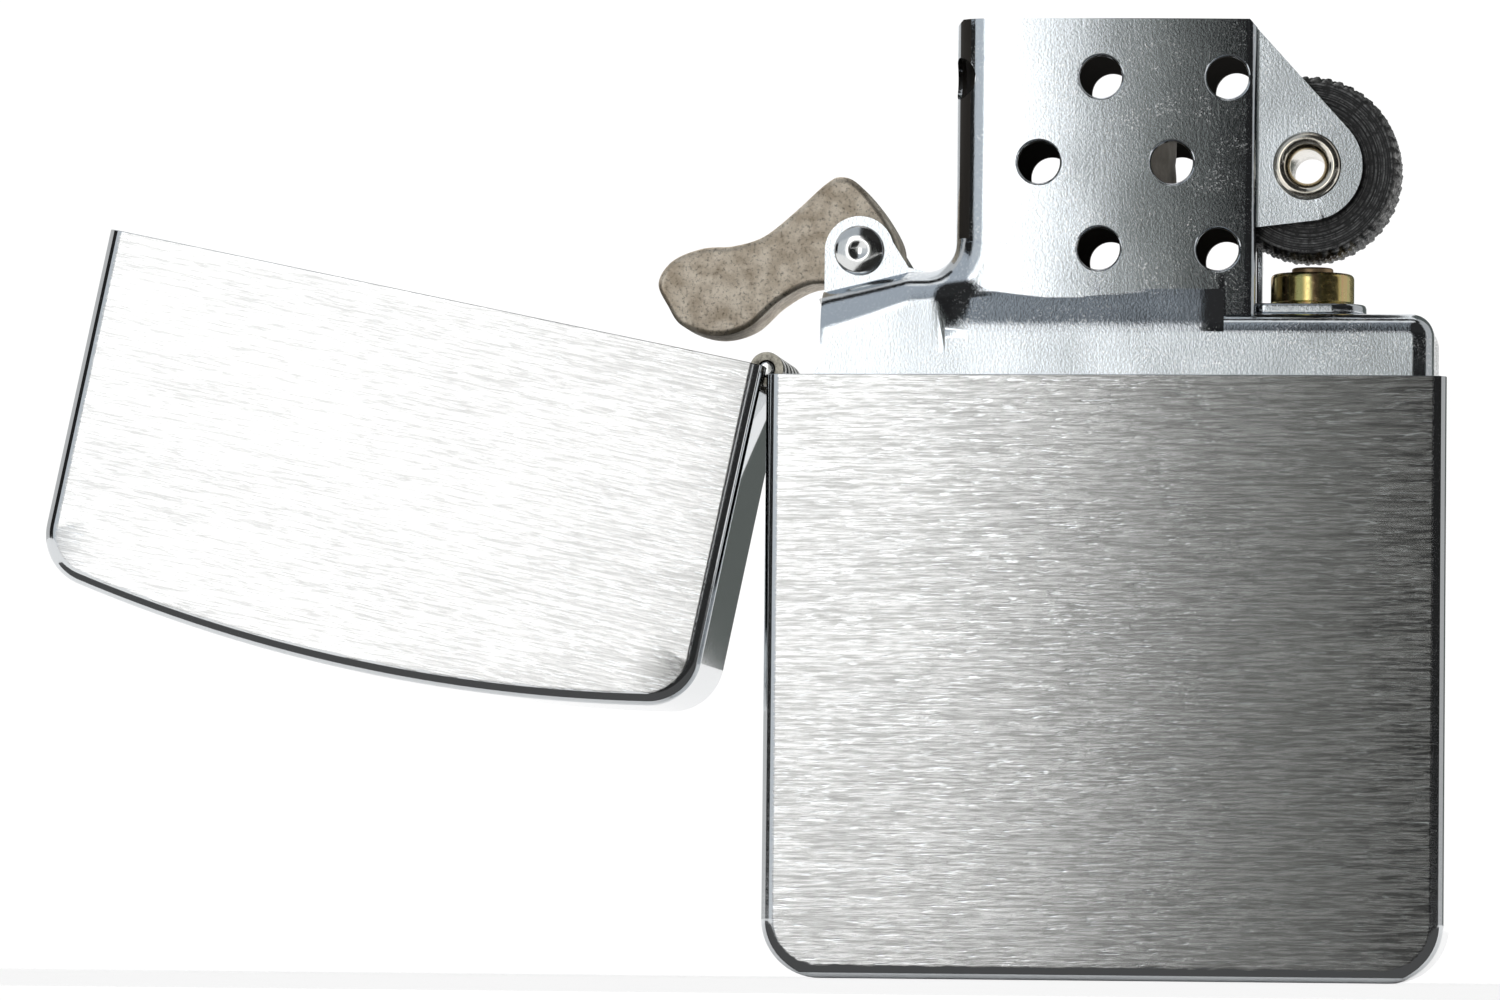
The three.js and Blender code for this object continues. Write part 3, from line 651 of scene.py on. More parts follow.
def dress(made, material, body, slot, *nodes):
    """Gives a piece its material, the body that it moves with and the CAD nodes that it stands for."""
    made.data.materials.clear()
    made.data.materials.append(material)
    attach(made, body)
    if nodes:
        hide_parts(*nodes)
    return made


# The angle in degrees from which an edge of a CAD node stays sharp
CAD_SHARP_FROM = 30


def dress_node(node, material):
    """A CAD node that stays as it is, apart from its material and its shading."""
    kept = frame["nodes"][node]
    kept.data.polygons.foreach_set("use_smooth", [True] * len(kept.data.polygons))
    kept.data.set_sharp_from_angle(angle=math.radians(CAD_SHARP_FROM))
    for holder in kept.material_slots:
        holder.material = material


# ---- Case and lid ----

def case_loop(step_in):
    side = HALF_WIDTH - step_in
    radius = BASE_CORNER - step_in
    top = CASE_RIM + BEYOND
    left_corner = arc(-side + radius, BASE_CORNER, radius, 180, 270, 16)
    right_corner = arc(side - radius, BASE_CORNER, radius, 270, 360, 16)
    return [
        *left_corner, *between(left_corner[-1], right_corner[0], 14), *right_corner,
        (side, top), *between((side, top), (-side, top), 14), (-side, top),
    ]


def lid_loop(step_in):
    side = HALF_WIDTH - step_in
    radius = LID_CORNER - step_in
    crown = CROWN_RADIUS - step_in
    crown_centre = CLOSED_HEIGHT - CROWN_RADIUS
    corner_x = side - radius
    rise = math.sqrt((crown - radius) ** 2 - corner_x ** 2)
    spread = math.degrees(math.atan2(corner_x, rise))
    low = LID_RIM - BEYOND
    return [
        *arc(corner_x, crown_centre + rise, radius, 0, 90 - spread, 16),
        *arc(0, crown_centre, crown, 90 - spread, 90 + spread, 28)[1:-1],
        *arc(-corner_x, crown_centre + rise, radius, 90 + spread, 180, 16),
        (-side, low), *between((-side, low), (side, low), 14), (side, low),
    ]


def shell(name, loop_at, sag, low_cut, high_cut):
    """A thin drawn shell, open where the cut takes its end away, with room for the hinge barrel."""
    made = slab(name, loop_at(0), DEPTH, EDGE, face_rings=7, sag=sag)
    hollow = slab("hollow", loop_at(WALL), DEPTH - 2 * WALL, EDGE - WALL, steps=4, face_rings=3, sag=sag)
    end = block("end", (-PAST_SIDE, -PAST_FRONT, low_cut), (PAST_SIDE, PAST_FRONT, high_cut))
    reach = BARREL / 2 + BARREL_CLEARANCE
    relief = bar("relief", KNUCKLE_RADIUS + BARREL_CLEARANCE, -reach, reach, HINGE, Y_AXIS, 64)
    return soften(cut(made, hollow, end, relief), 0.09, segments=2)


def swing_open(made):
    """Turns a piece made for the closed lid to the open pose; its own axes stay those of the closed lid."""
    made.data.transform(Matrix.Translation(-Vector(HINGE) * MM) @ made.matrix_world)
    made.matrix_world = Matrix.Identity(4)
    made.location = Vector(HINGE) * MM
    made.rotation_euler = Euler((0, -math.radians(OPEN_ANGLE), 0))
    return made


# ---- Hinge ----

def hinge_leaf(name, first, up):
    """A leaf against the inside of its wall, with every other knuckle of the barrel."""
    pitch = (BARREL + KNUCKLE_GAP) / KNUCKLES
    half = (pitch - KNUCKLE_GAP) / 2
    middles = [(index - (KNUCKLES - 1) / 2) * pitch for index in range(KNUCKLES)]
    inner = -HALF_WIDTH + WALL + LEAF_GAP
    ends = sorted((HINGE[2], HINGE[2] + up * LEAF_HEIGHT))
    leaf = block(name, (inner, -BARREL / 2, ends[0]), (inner + LEAF, BARREL / 2, ends[1]))
    clear = KNUCKLE_RADIUS + BARREL_CLEARANCE
    reach = half + KNUCKLE_GAP
    gaps = [bar("gap", clear, middle - reach, middle + reach, HINGE, Y_AXIS, 48)
            for index, middle in enumerate(middles) if index % 2 != first]
    knuckles = [bar("knuckle", KNUCKLE_RADIUS, middle - half, middle + half, HINGE, Y_AXIS, 64)
                for index, middle in enumerate(middles) if index % 2 == first]
    bore = bar("bore", KNUCKLE_BORE, -BARREL, BARREL, HINGE, Y_AXIS, 48)
    return soften(cut(join(cut(leaf, *gaps), *knuckles), bore), 0.07, segments=2)


def hinge_pin(name):
    """A plain pin, rounded at both ends, that stands out of the barrel by a hair."""
    high_end = rounded_end(PIN_RADIUS, BARREL / 2 + 0.04, 0.12, 5)
    profile = [(radius, -along) for radius, along in reversed(high_end)] + high_end
    return soften(turned(name, profile, HINGE, Y_AXIS, 48))


# ---- Insert ----

def smoothstep(x, low, high):
    t = min(1.0, max(0.0, (x - low) / (high - low)))
    return t * t * (3 - 2 * t)


def mixed(share, first, second):
    return first + (second - first) * share


def front_rib(sections):
    """A solid symmetric about Y = 0 through half sections of (x, depth, z) points."""
    rings = []
    for half in sections:
        front = [(x, -depth, z) for x, depth, z in half]
        back = [(x, depth, z) for x, depth, z in reversed(half)]
        rings.append(front + back)
    return loft("rib", rings)


def shoulder():
    """The sheet that leans out from the cam's ears and turns up into the chimney's left side.

    Its quarter-ellipse section follows the saddle's edge, then the foot's arc, then the chimney."""
    centre_x, centre_z = CHIMNEY_LEFT - FOOT_ROUND, SADDLE + FOOT_ROUND
    path = []
    for x in np.linspace(SHOULDER_LEFT, centre_x, 18)[:-1]:
        rise = min(1.0, (x - SHOULDER_LEFT) / EAR_RISE)
        path.append((x, mixed(rise, EAR_FOOT, SADDLE), -90.0))
    for angle in np.linspace(-90, 0, 26):
        turn = math.radians(angle)
        path.append((centre_x + FOOT_ROUND * math.cos(turn), centre_z + FOOT_ROUND * math.sin(turn), angle))
    narrowing, leaf_depth = (-82, -38), chimney_depth(CHIMNEY_LEFT + LEFT_ROUND)
    sections = []
    for x, z, angle in path:
        across, up = math.cos(math.radians(angle)), math.sin(math.radians(angle))
        along = smoothstep(x, SHOULDER_LEFT, CHIMNEY_LEFT)
        width = mixed(along, EAR_ROUND, LEFT_ROUND)
        depth = mixed(smoothstep(angle, *narrowing), TANK_HALF_DEPTH, leaf_depth)
        reach = mixed(smoothstep(angle, -90, 0), z - SLOT_FLOOR + 1, width + 0.5)
        half = []
        for turn in np.linspace(0, math.pi / 2, 14):
            step = width * (1 - math.cos(turn))
            half.append((x + across * step, mixed(math.sin(turn), EAR_FACE, depth), z + up * step))
        half += [(x + across * step, depth, z + up * step) for step in (width + 0.15, reach)]
        sections.append(half)
    return front_rib(sections)


def apron():
    """The concave foot between the chimney's flat faces and the tank's."""
    top = chimney_depth(0) - 0.05
    pulls = [np.array(p) for p in ((top, APRON_TOP), (top + 0.08, APRON_TOP - 0.8),
                                   (TANK_HALF_DEPTH, APRON_LOW + 1.2), (TANK_HALF_DEPTH, APRON_LOW))]
    half = []
    for t in np.linspace(0, 1, 13):
        weights = (1 - t) ** 3, 3 * t * (1 - t) ** 2, 3 * t * t * (1 - t), t ** 3
        half.append(sum(w * p for w, p in zip(weights, pulls)))
    half += [np.array((TANK_HALF_DEPTH, APRON_LOW - drop)) for drop in (0.15, 1.5)]
    return front_rib([[(x, depth, z) for depth, z in half] for x in np.linspace(APRON_LEFT, APRON_RIGHT, 12)])


def tank(name):
    """The tank as a solid block, without its top left corner, where the shoulder goes."""
    front = rounded_rectangle(TANK_LEFT, TANK_BASE - BEYOND, TANK_RIGHT, DECK, TANK_CORNER, 12)
    outside = slab(name, front, 2 * TANK_HALF_DEPTH, TANK_EDGE, steps=12)
    based = rounded_rectangle(TANK_LEFT - 1, TANK_BASE, TANK_RIGHT + 1, DECK + 5, BASE_CORNER + 1, 16)
    bounds = plate("bounds", based, -PAST_FRONT, PAST_FRONT)
    shoulder_place = block("shoulder_place", (-PAST_SIDE, -PAST_FRONT, SHOULDER_CUT),
                           (CHIMNEY_LEFT + 0.9, PAST_FRONT, PAST_TOP))
    return cut(keep_inside(outside, bounds), shoulder_place)


def tank_hollow(name, left, right, top):
    """A cutter for the room inside the tank's sheet, open at the base."""
    room = rounded_rectangle(left, -5, right, top - SHEET, TANK_INNER_CORNER)
    return slab(name, room, 2 * (TANK_HALF_DEPTH - SHEET), TANK_EDGE - SHEET)


def left_end():
    """What is cut away left of the cam's ears, with the flare below them."""
    flare = SHOULDER_LEFT - TANK_LEFT
    loop = [(-PAST_SIDE, PAST_TOP), (-PAST_SIDE, SHELF), (TANK_LEFT + 0.3, SHELF),
            *arc(TANK_LEFT, SHELF + flare, flare, -80, 0, 14), (SHOULDER_LEFT, PAST_TOP)]
    return plate("left_end", loop, -PAST_FRONT, PAST_FRONT)


def cam_slot():
    """A cutter for the room that the cam turns in, narrower between its ears than in the tank."""
    inner = TANK_HALF_DEPTH - SHEET
    half = [(inner, SLOT_FLOOR), (inner, 35.8), (inner - 0.5, 37.1), (EAR_FACE, 37.9), (CAM_EAR_INNER, 38.1),
            (CAM_EAR_INNER, PAST_TOP)]
    profile = [(-y, z) for y, z in half] + list(reversed(half))
    return loft("cam_slot", [[(x, y, z) for y, z in profile] for x in (-PAST_SIDE, SLOT_END)])


def cam_ears():
    root = SADDLE - 1.75
    loop = [(SHOULDER_LEFT, root), (SLOT_END + 0.3, root), (SLOT_END + 0.3, SADDLE), (-11.3, SADDLE + 0.25),
            *arc(CAM[0], CAM[2], CAM_EAR_RADIUS, 15, 180, 40)]
    return [plate("ear", loop, side * CAM_EAR_INNER, side * EAR_FACE) for side in (-1, 1)]


def chimney_depth(x):
    """The chimney's front and back faces are slightly crowned."""
    return CHIMNEY_FACE - CHIMNEY_SAG * ((x - CHIMNEY_CROWN) / CHIMNEY_RIGHT) ** 2


def chimney_path(step_in):
    """The front half of the chimney's plan, from the wheel ear's end round to the closed left side."""
    right = CHIMNEY_RIGHT - step_in
    left = CHIMNEY_LEFT + step_in
    right_round = RIGHT_ROUND - step_in
    left_round = LEFT_ROUND - step_in
    front = [(x, step_in - chimney_depth(x))
             for x in np.linspace(right - right_round, left + left_round, 30)]
    right_turn = arc(right - right_round, front[0][1] + right_round, right_round, 0, -90, 8)
    left_turn = arc(left + left_round, front[-1][1] + left_round, left_round, 270, 180, 24)
    return [(HALF_WIDTH, -EAR_FACE + step_in), (right, -EAR_FACE + step_in), *right_turn, *front[1:-1],
            *left_turn]


def vent_hole(x, z, side):
    """A cutter square to the chimney's front or back face, which leaves a chamfered rim."""
    slope = 2 * CHIMNEY_SAG * (x - CHIMNEY_CROWN) / CHIMNEY_RIGHT ** 2
    profile = [(HOLE_RADIUS + wider, side * out) for wider, out in HOLE_RIM]
    made = turned("vent_hole", profile, (x, side * chimney_depth(x), z), Y_AXIS, 64)
    made.rotation_euler = Euler((0, 0, -side * math.atan(slope)))
    return made


def corner_hole(side):
    """A cutter for the vent hole in the rounded corner, which points out to the left at a slant."""
    place = (CHIMNEY_LEFT + LEFT_ROUND, side * CORNER_HOLE_Y, CORNER_HOLE_Z)
    made = bar("corner_hole", HOLE_RADIUS, 0, 4, place, Z_AXIS, 64)
    made.rotation_euler = Euler((0, math.radians(90), math.radians(180 - side * (90 - CORNER_HOLE_ANGLE))))
    return made


def chimney_front():
    """The front-view outline that the sheet is trimmed to, with the wheel's ear at its right."""
    foot = SADDLE + FOOT_ROUND - 0.05
    off_left = CHIMNEY_LEFT + LEFT_ROUND - 0.2
    top = CHIMNEY_TOP + 0.01
    return [
        (CHIMNEY_LEFT - 1, foot), (off_left, foot), (off_left, DECK - 2), (CHIMNEY_RIGHT, DECK - 2),
        (CHIMNEY_RIGHT, AXLE[2] - WHEEL_EAR_DROP), *arc(AXLE[0], AXLE[2], WHEEL_EAR_RADIUS, -80, 42, 48),
        (CHIMNEY_RIGHT + 0.25, CHIMNEY_TOP - 0.7), (CHIMNEY_RIGHT - 0.4, top), (CHIMNEY_LEFT + 0.4, top),
        (CHIMNEY_LEFT, CHIMNEY_TOP - 0.35), (CHIMNEY_LEFT - 1, CHIMNEY_TOP - 2),
    ]


def chimney():
    outer, inner = chimney_path(0), chimney_path(SHEET)
    loop = [*outer, *[(x, -y) for x, y in reversed(outer)], *[(x, -y) for x, y in inner], *reversed(inner)]
    sheet = loft("chimney", [[(x, y, z) for x, y in loop] for z in (DECK - 1, CHIMNEY_TOP)])
    trim = plate("trim", chimney_front(), -PAST_FRONT, PAST_FRONT)
    holes = [vent_hole(x, z, side) for x, z in VENT_HOLES for side in (-1, 1)]
    holes += [corner_hole(side) for side in (-1, 1)]
    return cut(keep_inside(sheet, trim), *holes)


def insert(name):
    """The tank, cam ears, chimney and wheel ears in one piece."""
    right_room = tank_hollow("right_room", SLOT_END + SHEET, TANK_RIGHT - SHEET, DECK)
    room_under_cam = tank_hollow("room_under_cam", TANK_LEFT + SHEET, 0, SHELF)
    body = join(tank(name), shoulder(), apron())
    body = join(cut(body, left_end()), *cam_ears())
    body = cut(body, cam_slot(), right_room, room_under_cam)
    body = join(body, chimney())
    deck_low, deck_high = DECK - 2, DECK + 2
    bores = [
        bar("axle_bore", EYELET_BARREL + 0.03, -BORE_REACH, BORE_REACH, AXLE, Y_AXIS, 64),
        bar("cam_bore", CAM_BORE, -BORE_REACH, BORE_REACH, CAM, Y_AXIS, 48),
        bar("wick_bore", WICK_RADIUS + 0.2, deck_low, deck_high, (WICK_X, 0, 0), Z_AXIS, 64),
        bar("tube_bore", TUBE_FIT, deck_low, deck_high, (TUBE_X, 0, 0), Z_AXIS, 64),
    ]
    return soften(cut(body, *bores), 0.17, limit=38)


# ---- Striker wheel, eyelet, flint ----

def striker_wheel(name):
    """A turned wheel whose rim is cut by two sets of slanting teeth."""
    sides = TEETH * 8
    angles = np.linspace(0, 2 * math.pi, sides, endpoint=False)

    def ring(radius, along, cut_share):
        slant = along / WHEEL_HALF * TOOTH_SLANT
        first = np.abs((angles * TEETH / (2 * math.pi) + slant) % 1 * 2 - 1)
        second = np.abs((angles * TEETH / (2 * math.pi) - slant) % 1 * 2 - 1)
        radii = radius - cut_share * TOOTH_DEPTH * (1 - np.minimum(first, 1 - second * 0.5) * 1.2).clip(0, 1)
        return np.stack([radii * np.cos(angles), np.full(sides, along), radii * np.sin(angles)], 1)

    face = [(WHEEL_BORE, 0.0), (2.9, 0.0), (4.3, 0.0), (WHEEL_RADIUS - 2 * WHEEL_CHAMFER, 0.0),
            (WHEEL_RADIUS - WHEEL_CHAMFER, 0.15)]
    rings = [ring(radius, -WHEEL_HALF, share) for radius, share in face]
    edge = WHEEL_HALF - WHEEL_CHAMFER
    rings += [ring(WHEEL_RADIUS, along, 1.0) for along in np.linspace(-edge, edge, 17)]
    rings += [ring(radius, WHEEL_HALF, share) for radius, share in reversed(face)]
    made = loft(name, rings, looped=True)
    made.location = Vector(AXLE) * MM
    return soften(made, smooth=32)


def eyelet(name):
    """A hollow rivet rolled over against the outside of each ear."""
    seat = RIVET_SEAT
    middle, reach, rise = 1.53, 0.39, 0.4
    lip = [(middle + reach * math.cos(a), seat + rise * math.sin(a)) for a in np.linspace(0, 2.75, 14)]
    far = [(EYELET_BARREL, seat), *lip, (EYELET_BORE + 0.06, seat - 0.1), (EYELET_BORE, seat - 0.5)]
    near = [(radius, -along) for radius, along in far]
    return soften(turned(name, [*reversed(far), *near], AXLE, Y_AXIS, looped=True), smooth=50)


def tube_plate(name):
    low_edge = rounded_rectangle(PLATE_LEFT, -PLATE_HALF, PLATE_RIGHT, PLATE_HALF, 1.9, 16)
    plan = loft(name, [[(x, y, z) for x, y in low_edge] for z in (PLATE_BASE, PLATE_TOP)])
    return soften(cut(plan, bar("hole", TUBE_FIT, *PLATE_HOLE, (TUBE_X, 0, 0), Z_AXIS, 64)), 0.16)


def tube_collar(name):
    high = TUBE_TOP - COLLAR_BASE
    profile = [(TUBE_FIT, 0.0), (COLLAR_RADIUS - 0.08, 0.0), (COLLAR_RADIUS, 0.08)]
    profile += [*rounded_end(COLLAR_RADIUS, high, 0.3, 8), (TUBE_FIT, high)]
    return soften(turned(name, profile, (TUBE_X, 0, COLLAR_BASE), Z_AXIS, looped=True), smooth=40)


def flint_stick(name):
    high = FLINT_TOP - FLINT_BASE
    profile = [(FLINT_RADIUS - 0.1, 0.0), (FLINT_RADIUS, 0.1)]
    profile += [*rounded_end(FLINT_RADIUS, high, 0.14, 5), (0.5, high - 0.05)]
    return soften(turned(name, profile, (TUBE_X, 0, FLINT_BASE), Z_AXIS, 64), smooth=40)


def coil(name):
    steps = COIL_TURNS * 24
    points = []
    for step in range(steps + 1):
        turn = 2 * math.pi * COIL_TURNS * step / steps
        z = COIL_LOW + (COIL_HIGH - COIL_LOW) * step / steps
        points.append((TUBE_X + COIL_RADIUS * math.cos(turn), COIL_RADIUS * math.sin(turn), z))
    return soften(wire(name, [points], COIL_WIRE * 0.95), smooth=60)


# ---- Cam ----

CAM_OUTLINE = [
    (-15.25, 45.22), (-16.15, 44.8), (-17.9, 43.2), (-19.6, 41.85), (-21.3, 41.3), (-23.1, 41.15),
    (-24.8, 40.45), (-25.6, 39.2), (-25.05, 37.9), (-24.2, 36.75), (-22.3, 36.2), (-20.4, 36.7),
    (-18.8, 38.1), (-17.1, 39.05), (-15.4, 39.1), (-14.0, 38.75), (-12.4, 39.4), (-11.9, 41.1),
    (-12.7, 42.9), (-14.2, 44.75),
]


def smooth_closed(points, steps):
    """A closed Catmull-Rom curve through points."""
    points = np.array(points)
    before, after, beyond = np.roll(points, 1, 0), np.roll(points, -1, 0), np.roll(points, -2, 0)
    found = []
    for a, b, c, d in zip(before, points, after, beyond):
        for t in np.linspace(0, 1, steps, endpoint=False):
            found.append(0.5 * (2 * b + (c - a) * t + (2 * a - 5 * b + 4 * c - d) * t ** 2
                                + (3 * b - a - 3 * c + d) * t ** 3))
    return found


def cam(name):
    made = slab(name, smooth_closed(CAM_OUTLINE, 10), 2 * CAM_HALF, CAM_EDGE, steps=6)
    return soften(cut(made, bar("bore", CAM_BORE, -BORE_REACH, BORE_REACH, CAM, Y_AXIS, 48)))


def cam_rivet(name):
    """A solid rivet with a dished dome at each end."""
    seat = RIVET_SEAT
    angles = np.linspace(0.1, math.pi / 2, 9)
    dome = [(CAM_BORE - 0.08, seat), (CAM_HEAD - 0.02, seat), (CAM_HEAD, seat + 0.12)]
    dome += [(0.5 + 0.9 * math.cos(a), seat + 0.2 + 0.3 * math.sin(a)) for a in angles]
    dome += [(0.44, seat + 0.48), (0.36, seat + 0.45), (0.2, seat + 0.43), (0.05, seat + 0.42)]
    profile = [*[(radius, -along) for radius, along in reversed(dome)], *dome]
    return soften(turned(name, profile, CAM, Y_AXIS), smooth=50)


# ---- Wick and filling ----

def wick_middle(z):
    """The wick leans to the left above the deck."""
    return WICK_X - WICK_LEAN * smoothstep(z, DECK + 0.5, DECK + 8)


def wick(name):
    """A braided cotton wick: two sets of strands wind up it in opposite directions."""
    sides, steps = 48, 220
    strand_pairs, turn_per_height, between_strands, strand_height = 3, 1.5, 0.86, 0.12
    angles = np.linspace(0, 2 * math.pi, sides, endpoint=False)
    rings = []
    for z in np.linspace(WICK_LOW, WICK_TOP, steps):
        climb = z * turn_per_height
        around = strand_pairs * angles
        strands = np.maximum(np.abs(np.sin(around + climb)), np.abs(np.sin(around - climb)))
        close = 1 - smoothstep(z, WICK_TOP - 0.5, WICK_TOP) * 0.35
        radii = WICK_RADIUS * close * (between_strands + strand_height * strands)
        rings.append(np.stack([wick_middle(z) + radii * np.cos(angles), radii * np.sin(angles),
                               np.full(sides, z)], 1))
    return soften(loft(name, rings), smooth=60)


def frayed_end(name):
    """Loose fibres standing up from the wick's cut end."""
    draws = np.random.default_rng(7)
    tufts = []
    for _ in range(70):
        angle, reach = draws.uniform(0, 2 * math.pi), WICK_RADIUS * 0.72 * math.sqrt(draws.uniform())
        lean = draws.normal(0, 0.22, 2)
        length = draws.uniform(0.25, 0.75)
        x, y = wick_middle(WICK_TOP) + reach * math.cos(angle), reach * math.sin(angle)
        tufts.append([(x + lean[0] * t * t, y + lean[1] * t * t, WICK_TOP - 0.12 + length * t)
                      for t in (0, 0.35, 0.7, 1.0)])
    return wire(name, tufts, 0.035, resolution=1)


def wick_wire(name):
    """A copper strand wound round the wick's bare part."""
    turns, low = 2, DECK + 0.6
    wind = WICK_RADIUS + 0.16
    points = []
    for t in np.linspace(0, 1, 160):
        turn = 2 * math.pi * turns * t
        z = low + (WICK_TOP - low) * t
        points.append((wick_middle(z) + wind * math.cos(turn), wind * math.sin(turn), z))
    return soften(wire(name, [points], WICK_WIRE), smooth=60)


def stuffing(name, node, voxel, lumps, lump_height):
    """A soft filling in the place of its CAD solid, its surface lumpy with fibre."""
    made = new_object(name, frame["nodes"][node].data.copy())
    grid = made.modifiers.new("fibres", "REMESH")
    grid.mode = "VOXEL"
    grid.voxel_size = voxel * MM
    grid.use_smooth_shade = True
    cloud = bpy.data.textures.new(name, "CLOUDS")
    cloud.noise_scale = lumps * MM
    push = made.modifiers.new("lumps", "DISPLACE")
    push.texture = cloud
    push.texture_coords = "LOCAL"
    push.strength = lump_height * MM
    push.mid_level = 1.0
    return applied(made)


# ---- The object ----

case_body = shell("case_body", case_loop, CASE_SAG, CASE_RIM, CASE_RIM + PAST_FRONT)
dress(case_body, CHROME_PAINTED_DARK, "case", "polished_chrome", "case_shell")
lid_body = shell("lid_body", lid_loop, LID_SAG, LID_RIM - PAST_FRONT, LID_RIM)
dress(swing_open(lid_body), CHROME, "lid", "polished_chrome", "lid_shell")
dress(hinge_leaf("case_leaf", 0, -1), HINGE_STEEL, "case", "polished_chrome", "case_hinge_leaf")
dress(swing_open(hinge_leaf("lid_leaf", 1, 1)), HINGE_STEEL, "lid", "polished_chrome", "lid_hinge_leaf")
dress(hinge_pin("barrel_pin"), RIVET_STEEL, "case", "stainless", "hinge_pin")

dress(insert("insert_body"), SOOTY_STAINLESS, "case", "stainless", "insert_shell")
dress(eyelet("wheel_eyelet"), EYELET_STEEL, "case", "stainless", "wheel_rivet")
dress(striker_wheel("knurled_wheel"), WHEEL_STEEL, "wheel", "dark_steel", "striker_wheel")
dress(tube_plate("tube_washer_plate"), STAINLESS, "case", "stainless", "flint_tube_plate")
dress(tube_collar("tube_top_collar"), BRASS, "case", "brass", "tube_collar")
dress(flint_stick("flint_stick"), FLINT_METAL, "flint_feed", "flint", "flint")
spring = dress(coil("tube_spring"), SPRING_STEEL, "case", "stainless", "flint_spring")
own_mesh(spring)

dress(cam("lid_cam"), CAM_STEEL, "cam", "tumbled_steel", "cam")
dress(cam_rivet("cam_rivet_dome"), RIVET_STEEL, "case", "stainless", "cam_rivet")

dress(wick("braided_wick"), WICK_COTTON, "case", "cotton", "wick")
dress(frayed_end("wick_fray"), WICK_COTTON, "case", "cotton")
dress(wick_wire("wick_strand"), COPPER, "case", "copper", "wick_wire")
flap = stuffing("felt_flap", "felt_pad", voxel=0.3, lumps=1.2, lump_height=0.12)
dress(flap, FELT, "case", "felt", "felt_pad")
for layer in range(1, 5):
    ball = stuffing(f"cotton_ball_{layer}", f"packing_{layer}", voxel=0.45, lumps=2.5, lump_height=0.5)
    dress(ball, BALL_COTTON, "case", "cotton", f"packing_{layer}")

dress_node("wheel_bush", RIVET_STEEL)
for node in ("flint_tube", "flint_plunger", "spring_screw"):
    dress_node(node, BRASS)
dress_node("cam_spring", SPRING_STEEL)
dress_node("cam_spring_rivet", RIVET_STEEL)


# ---- Studio ----

def plain(name, color, strength=None):
    """A matt colour, or light of that colour where a strength is given."""
    if strength is None:
        return Finish(name, Base_Color=rgb(*color), Roughness=0.9).material
    return Finish(name, Base_Color=rgb(0, 0, 0), Roughness=0.9, Specular_IOR_Level=0.0,
                  Emission_Color=rgb(*color), Emission_Strength=strength).material


CARD_DISTANCE = 1.3


def card(name, azimuths, elevations, color, strength):
    """A curved reflector or flag round the object that only glossy surfaces see.

    Azimuth 0 is in front of the object and 90 at its right, in degrees."""
    rings = []
    for azimuth in np.radians(np.linspace(*azimuths, 25)):
        rings.append([(CARD_DISTANCE * math.sin(azimuth), -CARD_DISTANCE * math.cos(azimuth),
                       CARD_DISTANCE * math.tan(math.radians(e))) for e in elevations])
    faces = [(2 * i, 2 * i + 1, 2 * i + 3, 2 * i + 2) for i in range(len(rings) - 1)]
    glossy_only(name, [point for ring in rings for point in ring], faces, plain(name, color, strength))


def flat_flag(name, low, high, height, strength=0.03):
    """A level rectangle from one corner to the other at a height, that only glossy surfaces see."""
    glossy_only(name, level_corners(low, high, height), [(0, 1, 2, 3)], plain(name, (1, 1, 1), strength))


def level_corners(low, high, height):
    return [(low[0], low[1], height), (high[0], low[1], height), (high[0], high[1], height),
            (low[0], high[1], height)]


def glossy_only(name, points, faces, material):
    made = stage_mesh(name, points, faces, material)
    for ray in ("camera", "diffuse", "shadow", "transmission", "volume_scatter"):
        setattr(made, f"visible_{ray}", False)


def stage_mesh(name, points, faces, material):
    mesh = bpy.data.meshes.new(name)
    mesh.from_pydata(points, [], faces)
    mesh.materials.append(material)
    made = new_object(name, mesh)
    return made


def floor():
    reach = 4.0
    corners = level_corners((-reach, -reach), (reach, reach), 0)
    stage_mesh("floor", corners, [(0, 1, 2, 3)], plain("pale_floor", (0.97, 0.97, 0.97)))


def world():
    scene = bpy.context.scene
    scene.world = bpy.data.worlds.new("white_surround")
    scene.world.use_nodes = True
    surround = scene.world.node_tree.nodes["Background"]
    surround.inputs["Color"].default_value = rgb(1, 1, 1)
    surround.inputs["Strength"].default_value = 1.05
    scene.view_settings.view_transform = "Standard"


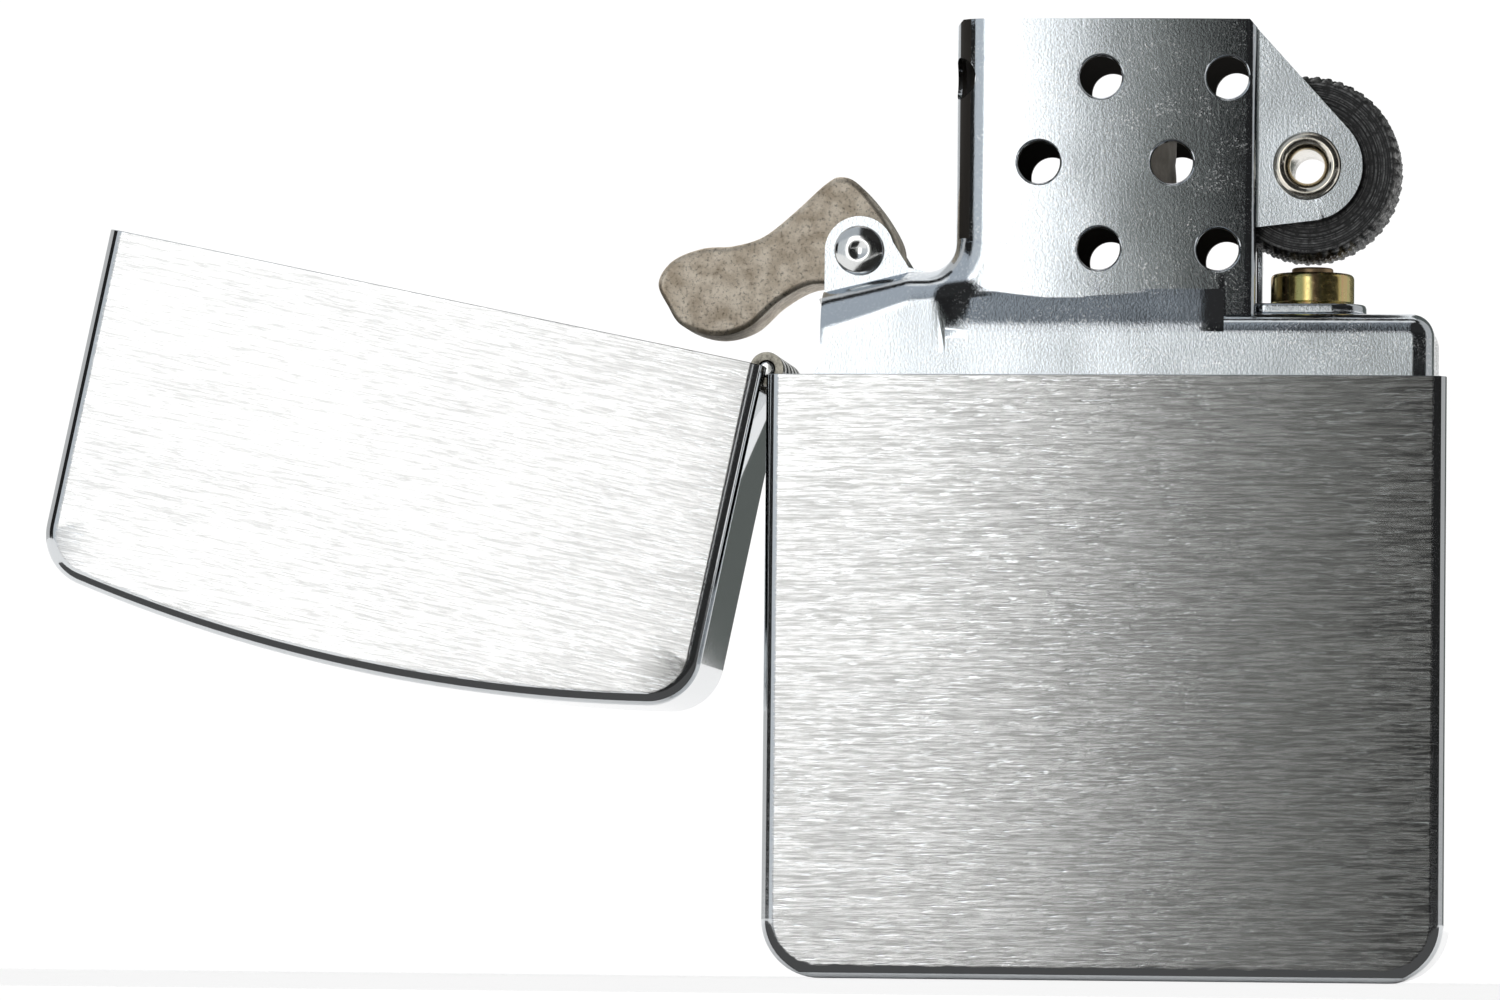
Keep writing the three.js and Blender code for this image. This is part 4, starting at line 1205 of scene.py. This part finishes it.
def camera():
    """The camera stands half a metre off, just above the floor, looking a little up and to the left."""
    data = bpy.data.cameras.new("camera")
    data.sensor_width = 36.0
    data.lens = CAMERA_LENS
    data.clip_start = 0.05
    data.clip_end = 20.0
    made = new_object("camera", data)
    pitch, roll, yaw = CAMERA_PITCH_ROLL_YAW
    ahead = Vector((-math.sin(yaw) * math.cos(pitch), math.cos(yaw) * math.cos(pitch), math.sin(pitch)))
    level = Vector((math.cos(yaw), math.sin(yaw), 0))
    upright = level.cross(ahead)
    right = math.cos(roll) * level + math.sin(roll) * upright
    up = -math.sin(roll) * level + math.cos(roll) * upright
    turn = Matrix((right, up, -ahead)).transposed().to_4x4()
    made.matrix_world = Matrix.Translation(CAMERA_PLACE) @ turn
    bpy.context.scene.camera = made


camera()
world()
floor()

# Where one card ends and the next starts, in degrees round the object and up from its base
SOFTBOX_LEFT, SOFTBOX_RIGHT, GAP_RIGHT = -16, -4.8, 3.0
HIGH_SPLIT = -5.3
SIDE_LEFT, SIDE_RIGHT, REAR_RIGHT = -85, 79, 130
GAP_TOP, LOW_TOP, HIGH_TOP, REAR_TOP = 11, 20, 72, 70

card("softbox", (SOFTBOX_LEFT, SOFTBOX_RIGHT), (-3, LOW_TOP), (1, 1, 1), 2.1)
card("left_grey", (-50, SOFTBOX_LEFT), (-3, LOW_TOP), (0.9, 0.95, 1.0), 0.7)
card("top_left_grey", (SIDE_LEFT, HIGH_SPLIT), (LOW_TOP, HIGH_TOP), (0.85, 0.92, 1.0), 0.55)
card("grey_gap", (SOFTBOX_RIGHT, GAP_RIGHT), (-1, GAP_TOP), (0.97, 1.0, 0.95), 0.38)
card("top_flag", (SOFTBOX_RIGHT, GAP_RIGHT), (GAP_TOP, LOW_TOP), (1, 1, 1), 0.03)
card("high_flag", (HIGH_SPLIT, SIDE_RIGHT), (LOW_TOP, HIGH_TOP), (1, 1, 1), 0.03)
card("right_flag", (GAP_RIGHT, SIDE_RIGHT), (-1, LOW_TOP), (1, 1, 1), 0.02)
card("left_flag", (SIDE_LEFT, -50), (-1, LOW_TOP), (1, 1, 1), 0.02)
card("right_rear", (SIDE_RIGHT, REAR_RIGHT), (-1, REAR_TOP), (1, 1, 1), 0.5)
card("behind_lid", (REAR_RIGHT, 176), (-1, REAR_TOP), (0.9, 1.0, 0.95), 0.12)
card("left_rear", (-150, SIDE_LEFT), (-1, REAR_TOP), (1, 1, 1), 0.6)
flat_flag("zenith_flag", (-0.7, -0.16), (0.7, 0.16), 1.2)
flat_flag("near_floor_flag", (-0.1, -0.045), (0.1, -0.0058), 0.0003, 0.09)
flat_flag("right_floor_flag", (-0.03, -0.6), (0.6, -0.045), 0.0003)
